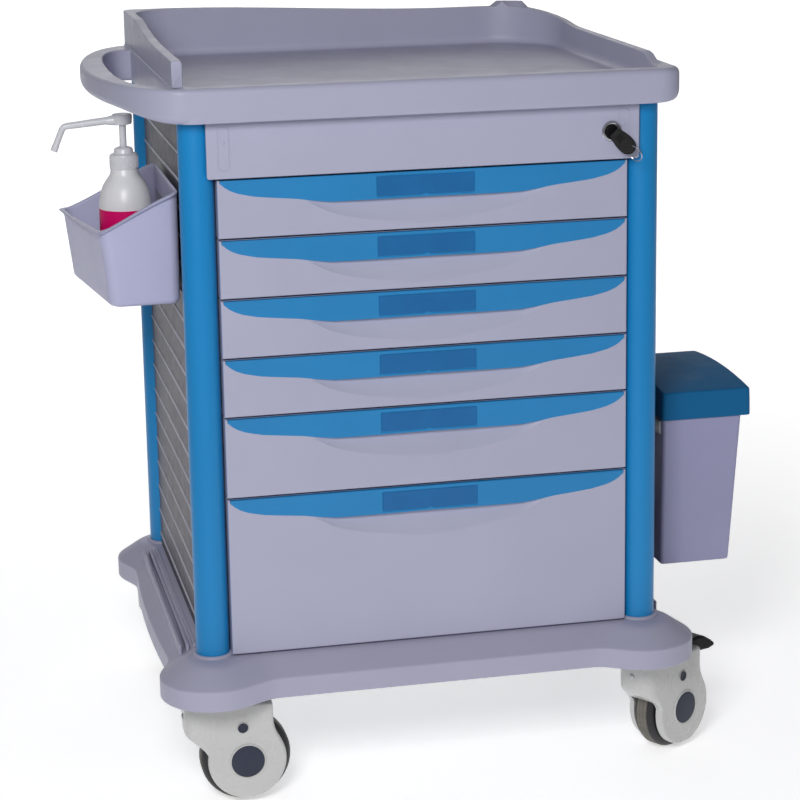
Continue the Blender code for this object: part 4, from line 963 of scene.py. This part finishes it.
# ---------------------------------------------------------------- hanging bin and bottle
BIN_SPLAY = 0.014
BIN_CORNER = 0.014
BIN_OUTER_HIGH, BIN_INNER_HIGH = 0.087, 0.138
# inset, share of the height, lift, step out: from the floor up the outside, over the rim and down inside
BIN_ROWS = ((0.012, 0.0), (0.005, 0.004), (0.0018, 0.018), (0.0, 0.05), (0.0, 0.5), (0.0, 0.955),
            (0.0, 0.968, 0.0, 0.0012), (0.0, 0.972, 0.0, 0.0038), (0.0, 0.982, 0.0, 0.0049),
            (0.0, 1.0, -0.0012, 0.0050), (0.0, 1.0, -0.0003, 0.0042), (0.0, 1.0, 0.0, 0.003),
            (0.0012, 1.0, -0.0002), (0.0022, 1.0, -0.0012), (0.0026, 0.97), (0.0026, 0.5), (0.0026, 0.06),
            (0.0050, 0.034), (0.014, 0.0255))


def build_hanging_bin():
    """Open bin with a sloping rolled rim, lower on the outside, and wider at the rear."""
    low, high = node_box("hanging_bin")

    def rim(x):
        share = clamp((x - low.x) / (high.x - low.x), 0.0, 1.0)
        curve = 0.75 * share + 0.25 * smooth(share, 0.0, 1.0)
        return low.z + BIN_OUTER_HIGH + (BIN_INNER_HIGH - BIN_OUTER_HIGH) * curve

    def ring(inset, height_share, lift=0.0, out=0.0):
        taper = 0.010 * (1 - height_share)
        x0, x1 = low.x + 0.005 + taper + inset - out, high.x + 0.0040 - inset
        y0, y1 = low.y + 0.005 + taper * 0.6 + inset - out, high.y - 0.005 - taper * 0.6 - inset + out
        outline = []
        for x, y in dense_rect(x0, y0, x1, y1, max(BIN_CORNER - inset, 0.002)):
            forward = clamp(1 - 2 * (y - y0) / (y1 - y0), -1.0, 1.0)
            x += BIN_SPLAY * forward * clamp(1 - (x - x0) / (x1 - x0), 0.0, 1.0)
            outline.append(Vector((x, y, low.z + (rim(x) - low.z) * height_share + lift)))
        return outline

    piece("side_bin_shell", loft([ring(*row) for row in BIN_ROWS]), "cabinet", LILAC_BIN,
          ["hanging_bin"], sharp=50)


def dense_rect(x0, y0, x1, y1, radius, corner_count=8, side_count=14):
    """Rounded rectangle with points along its sides too."""
    outline = [(x, y0) for x in steps(x0 + radius, x1 - radius, side_count)[:-1]]
    outline += arc(x1 - radius, y0 + radius, radius, -90, 0, corner_count)[:-1]
    outline += [(x1, y) for y in steps(y0 + radius, y1 - radius, side_count)[:-1]]
    outline += arc(x1 - radius, y1 - radius, radius, 0, 90, corner_count)[:-1]
    outline += [(x, y1) for x in steps(x1 - radius, x0 + radius, side_count)[:-1]]
    outline += arc(x0 + radius, y1 - radius, radius, 90, 180, corner_count)[:-1]
    outline += [(x0, y) for y in steps(y1 - radius, y0 + radius, side_count)[:-1]]
    outline += arc(x0 + radius, y0 + radius, radius, 180, 270, corner_count)[:-1]
    return outline


BOTTLE_X, BOTTLE_Y, BOTTLE_R = -0.341, 0.145, 0.032
# (share of the radius, distance below the neck)
BOTTLE_SHOULDER = ((1.0, 0.060), (1.0, 0.048), (0.99, 0.0400), (0.965, 0.0340), (0.925, 0.0280),
                   (0.87, 0.0225), (0.80, 0.0180), (0.72, 0.0140), (0.64, 0.0105), (0.57, 0.0075),
                   (0.53, 0.0040), (0.51, -0.002), (0.45, -0.004), (0.42, -0.003), (0.42, 0.016))


def build_bottle():
    floor = node_box("bottle")[0].z
    here = Matrix.Translation((BOTTLE_X, BOTTLE_Y, floor))
    radius = BOTTLE_R
    neck = node_box("pump_collar")[0].z - floor
    profile = [(radius - 0.009, 0.0018), (radius - 0.006, 0.0004), (radius - 0.0035, 0.0),
               (radius - 0.0012, 0.0010), (radius, 0.0035), (radius, 0.012)]
    profile += [(radius * share, neck - below) for share, below in BOTTLE_SHOULDER]
    piece("bottle_body", placed(lathe(profile, 72, (True, False)), here), "bottle", BOTTLE,
          ["bottle"], sharp=60)
    band = lathe([(radius - 0.0004, 0.0250), (radius + 0.0003, 0.0252), (radius + 0.0003, 0.1088),
                  (radius - 0.0004, 0.1090)], 72, (False, False))
    piece("bottle_band", placed(band, here), "bottle", LABEL)

    low, high = node_box("pump_collar")
    tall = high.z - low.z
    wide = (high.x - low.x) / 2
    rows = [(wide - 0.002, 0.0), (wide - 0.0004, 0.0004), (wide, 0.0016), (wide, tall * 0.60),
            (wide - 0.0006, tall * 0.655), (wide - 0.0022, tall * 0.69), (wide * 0.72, tall * 0.71),
            (wide * 0.68, tall * 0.76), (wide * 0.66, tall * 0.88), (wide * 0.58, tall * 0.95),
            (wide * 0.40, tall * 0.995), (wide * 0.30, tall), (0.0047, tall - 0.0004), (0.0047, tall * 0.5)]
    here = Matrix.Translation((BOTTLE_X, BOTTLE_Y, low.z))
    collar = placed(lathe(rows, 72, (False, False)), here)
    ribs = []
    for i in range(36):
        rib = rounded_box((wide - 0.0006, -0.0004, 0.002), (wide + 0.0003, 0.0004, tall * 0.57), 0.0002)
        ribs.append(placed(rib, here @ Matrix.Rotation(2 * math.pi * i / 36, 4, "Z")))
    piece("pump_cap", joined(collar, *ribs), "bottle", PUMP, ["pump_collar"])

    top = node_box("pump_head")[1].z
    cap_rows = [(0.0042, -0.058), (0.0042, -0.0135), (0.0088, -0.0130), (0.0108, -0.0124), (0.0114, -0.0112),
                (0.0121, -0.0038), (0.0119, -0.0014), (0.0110, -0.0005), (0.0092, -0.0001), (0.003, 0.0)]
    here = Matrix.Translation((BOTTLE_X, BOTTLE_Y, top))
    stem = placed(lathe(cap_rows, 48), here)
    route = curve_points([(-0.004, 0, -0.0065), (-0.030, 0, -0.0088), (-0.055, 0, -0.0112),
                          (-0.0675, 0, -0.0124), (-0.0715, 0, -0.0148), (-0.0742, 0, -0.0200), (-0.0790, 0, -0.0312),
                          (-0.0835, 0, -0.0418)], 5)
    count = len(route)
    thick = [0.0046 - 0.0008 * smooth(i / count, 0.0, 0.55) + 0.0004 * smooth(i / count, 0.86, 0.90)
             for i in range(count)]
    spout = placed(tube(route, thick, 24), here)
    root = placed(tube(curve_points([(-0.006, 0, -0.0075), (-0.014, 0, -0.0078), (-0.020, 0, -0.0082)], 4),
                       [0.0066, 0.0065, 0.0063, 0.0060, 0.0056, 0.0053, 0.0050, 0.0047, 0.0045], 24), here)
    piece("pump_nozzle", joined(stem, spout, root), "pump", PUMP, ["pump_head"])


# ---------------------------------------------------------------- waste bin
def build_waste_bin():
    low, high = node_box("waste_bin")
    lid_low, lid_high = node_box("waste_lid")
    x0, x1, y0, y1 = low.x, high.x, low.y, high.y
    tall = high.z - low.z

    def ring(share, inset):
        """share is 0 at the floor and 1 at the rim."""
        lean = 0.012 * (1 - share)
        pull = 0.6 * lean
        return [Vector((x, y, low.z + tall * share)) for x, y in
                dense_rect(x0 + inset, y0 + pull + inset, x1 - lean - inset, y1 - pull - inset,
                           max(0.0045 - inset, 0.0012))]

    rows = ((0.0, 0.008), (0.002, 0.0035), (0.008, 0.0010), (0.018, 0.0), (0.5, 0.0), (0.985, 0.0),
            (1.0, 0.0004), (1.0, 0.0022), (0.985, 0.0026), (0.5, 0.0026), (0.03, 0.0026), (0.018, 0.0045),
            (0.013, 0.010))
    piece("waste_tub", loft([ring(*row) for row in rows]), "cabinet", LILAC_WASTE_SHADED,
          ["waste_bin"], sharp=50)

    skirt_low = high.z + 0.0004
    shoulder = lid_high.z - 0.0050
    crown = 0.0065
    middle = (lid_low.y + lid_high.y) / 2
    half = (lid_high.y - lid_low.y) / 2
    near_x = x0 - 0.0020

    def lid_ring(z, inset, radius=0.005, arch=0.0):
        outline = dense_rect(near_x + inset, lid_low.y + inset, lid_high.x - inset, lid_high.y - inset,
                             max(radius - inset * 0.6, 0.0012))
        return [Vector((x, y, z + arch * (1 - ((y - middle) / half) ** 2))) for x, y in outline]

    rings = [lid_ring(skirt_low + up, inset)
             for up, inset in ((0.0, 0.0026), (0.0, 0.0006), (0.0006, 0.0), (0.020, 0.0003))]
    rings += [lid_ring(shoulder - drop, inset, arch=crown)
              for drop, inset in ((0.0030, 0.0008), (0.0012, 0.0013), (0.0003, 0.0022), (0.0, 0.0036))]
    rings += [lid_ring(shoulder, inset, 0.006, crown) for inset in (0.010, 0.020, 0.030, 0.040, 0.049)]
    shell = loft(rings, caps=(False, True))
    inside = loft([lid_ring(skirt_low, 0.0026), lid_ring(shoulder - 0.006, 0.0034),
                   lid_ring(shoulder - 0.003, 0.006), lid_ring(shoulder - 0.003, 0.012, arch=crown),
                   lid_ring(shoulder - 0.003, 0.049, arch=crown)], caps=(False, True))
    for face in inside.faces:
        face.normal_flip()
    lugs = [rounded_box((lid_low.x, y - 0.008, lid_low.z), (near_x + 0.003, y + 0.008, lid_low.z + 0.0088),
                        0.001, 0.003, "y") for y in (y0 + 0.06, y1 - 0.06)]
    piece("waste_cover", joined(shell, inside, *lugs), "lid", LID, ["waste_lid"], sharp=50)


# ---------------------------------------------------------------- key
def build_key():
    """Black key head with three grip bars across it."""
    root = Vector((LOCK_X, -0.0161, LOCK_Z))
    direction = Vector((0.60, -0.42, -0.68)).normalized()
    across = direction.cross(Vector((0, -1, 0))).normalized()
    thick = across.cross(direction).normalized()
    long, wide, deep = 0.034, 0.021, 0.0035
    outline = []
    for along_share, half in ((0.0, 0.30), (0.06, 0.36), (0.16, 0.40), (0.28, 0.44), (0.40, 0.48),
                              (0.55, 0.50), (0.70, 0.49), (0.82, 0.44), (0.91, 0.35), (0.97, 0.22), (1.0, 0.08)):
        outline.append((along_share * long, -half * wide))
    outline += [(u, -v) for u, v in reversed(outline)]

    def put(u, v, h):
        return root + direction * u + across * v + thick * h

    head = slab(outline, -deep / 2, deep / 2, 0.0010, 0.0010, put)
    grip = [tube([put(u, -0.0052, deep / 2), put(u, 0.0052, deep / 2)], 0.0005, 8)
            for u in (0.008, 0.011, 0.014)]
    piece("key_grip", joined(head, *grip), "lock", BLACK, ["key"])


def finish_kept_nodes():
    """Materials of the CAD nodes that stay."""
    finishes = {name: STEEL for name in ("base_plate", "runner_rack_left", "runner_rack_right", "lock_bar",
                                         "hanging_bin_bracket", "waste_bracket")}
    finishes["key_ring"] = CHROME
    finishes.update({f"drawer_{number}_box": DRAWER_BOX for number in DRAWERS})
    finishes.update({f"caster_{corner}_stem": STEEL for corner, *_ in CASTERS})
    for name, made_of in finishes.items():
        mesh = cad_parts[name].data
        mesh.materials.clear()
        mesh.materials.append(made_of)


# ---------------------------------------------------------------- room and camera
SKY_STRENGTH = 0.19
PAPER_GLOW = 0.48
# the glow's middle and half-widths on the floor, its squash in height, and how wide its soft edge is
GLOW_MIDDLE = (0.75, 2.1)
GLOW_REACH = (2.7, 4.3)
GLOW_FLAT, GLOW_EDGE = 0.04, 0.26
# name, place, aim, size, watts
LAMPS = (("key_lamp", (-0.82, -2.15, 1.62), (-0.1, 0.0, 0.72), 0.7, 34.0),
         ("wall_lamp", (0.6, 1.8, 3.4), (0.6, 5.0, 1.4), 2.4, 60.0))


def build_room():
    """Pale floor that glows round the trolley and curves up behind, two soft lamps and an even sky."""
    floor = bmesh.new()
    profile = [(-7.0, 0.0)] + [(3.0 + 2.0 * math.sin(a), 2.0 - 2.0 * math.cos(a))
                               for a in (math.pi / 2 * i / 12 for i in range(13))] + [(5.0, 6.0)]
    rows = [[floor.verts.new((x, y, z)) for x in steps(-8.0, 8.0, 8)] for y, z in profile]
    for row, upper in zip(rows, rows[1:]):
        for i in range(8):
            floor.faces.new((row[i], row[i + 1], upper[i + 1], upper[i]))
    mesh = bpy.data.meshes.new("studio_floor")
    floor.to_mesh(mesh)
    floor.free()
    for face in mesh.polygons:
        face.use_smooth = True
    obj = bpy.data.objects.new("studio_floor", mesh)
    bpy.context.scene.collection.objects.link(obj)
    paper = material("studio_paper", (250, 250, 251), 0.9, spread=0.004, cloud=2.0, bump=0.02)
    glow = paper.node_tree.nodes["Principled BSDF"]
    glow.inputs["Emission Color"].default_value = (1.0, 1.0, 1.0, 1.0)
    nodes, links = paper.node_tree.nodes, paper.node_tree.links
    place = nodes.new("ShaderNodeTexCoord")
    (middle_x, middle_y), (reach_x, reach_y) = GLOW_MIDDLE, GLOW_REACH
    pool = add_node(nodes, "ShaderNodeMapping", Scale=(1 / reach_x, 1 / reach_y, GLOW_FLAT),
                    Location=(-middle_x / reach_x, -middle_y / reach_y, 0.0))
    ball = nodes.new("ShaderNodeTexGradient")
    ball.gradient_type = "SPHERICAL"
    fade = add_node(nodes, "ShaderNodeMapRange", From_Max=GLOW_EDGE, To_Max=PAPER_GLOW)
    fade.interpolation_type = "SMOOTHSTEP"
    links.new(place.outputs["Object"], pool.inputs["Vector"])
    links.new(pool.outputs["Vector"], ball.inputs["Vector"])
    links.new(ball.outputs["Fac"], fade.inputs["Value"])
    links.new(fade.outputs["Result"], glow.inputs["Emission Strength"])
    mesh.materials.append(paper)

    world = bpy.data.worlds.new("studio")
    world.use_nodes = True
    sky = world.node_tree.nodes["Background"]
    sky.inputs["Color"].default_value = (1.0, 1.0, 1.0, 1.0)
    sky.inputs["Strength"].default_value = SKY_STRENGTH
    bpy.context.scene.world = world

    for name, at, aim, size, power in LAMPS:
        light = bpy.data.lights.new(name, "AREA")
        light.shape = "SQUARE"
        light.size = size
        light.energy = power
        lamp = bpy.data.objects.new(name, light)
        lamp.matrix_world = along(Vector(at) - Vector(aim), at)
        bpy.context.scene.collection.objects.link(lamp)


# degrees turned right, tipped down and rolled
CAMERA_TURN = (12.33, 13.30, -0.95)
CAMERA_PLACE = (-0.635, -2.746, 1.2356)
CAMERA_LENS, CAMERA_SHIFT_Y = 108.5, -0.075


def build_camera():
    yaw, pitch, roll = (math.radians(degrees) for degrees in CAMERA_TURN)
    ahead = Vector((math.sin(yaw) * math.cos(pitch), math.cos(yaw) * math.cos(pitch), -math.sin(pitch)))
    level = Vector((math.cos(yaw), -math.sin(yaw), 0.0))
    upright = level.cross(ahead)
    right = level * math.cos(roll) + upright * math.sin(roll)
    up = upright * math.cos(roll) - level * math.sin(roll)
    lens = bpy.data.cameras.new("camera")
    lens.sensor_width = 36.0
    lens.lens = CAMERA_LENS
    lens.shift_y = CAMERA_SHIFT_Y
    lens.clip_end = 60.0
    camera = bpy.data.objects.new("camera", lens)
    turn = Matrix((right, up, -ahead)).transposed().to_4x4()
    camera.matrix_world = Matrix.Translation(Vector(CAMERA_PLACE) + SHIFT) @ turn
    bpy.context.scene.collection.objects.link(camera)
    bpy.context.scene.camera = camera
    bpy.context.scene.view_settings.view_transform = "Standard"


build_base()
build_columns()
build_side_panels()
build_back_panel()
build_top()
build_front_panel()
build_lock()
build_key()
build_drawers()
for caster in CASTERS:
    build_caster(*caster)
build_hanging_bin()
build_bottle()
build_waste_bin()
finish_kept_nodes()
build_room()
build_camera()

bpy.context.view_layer.update()
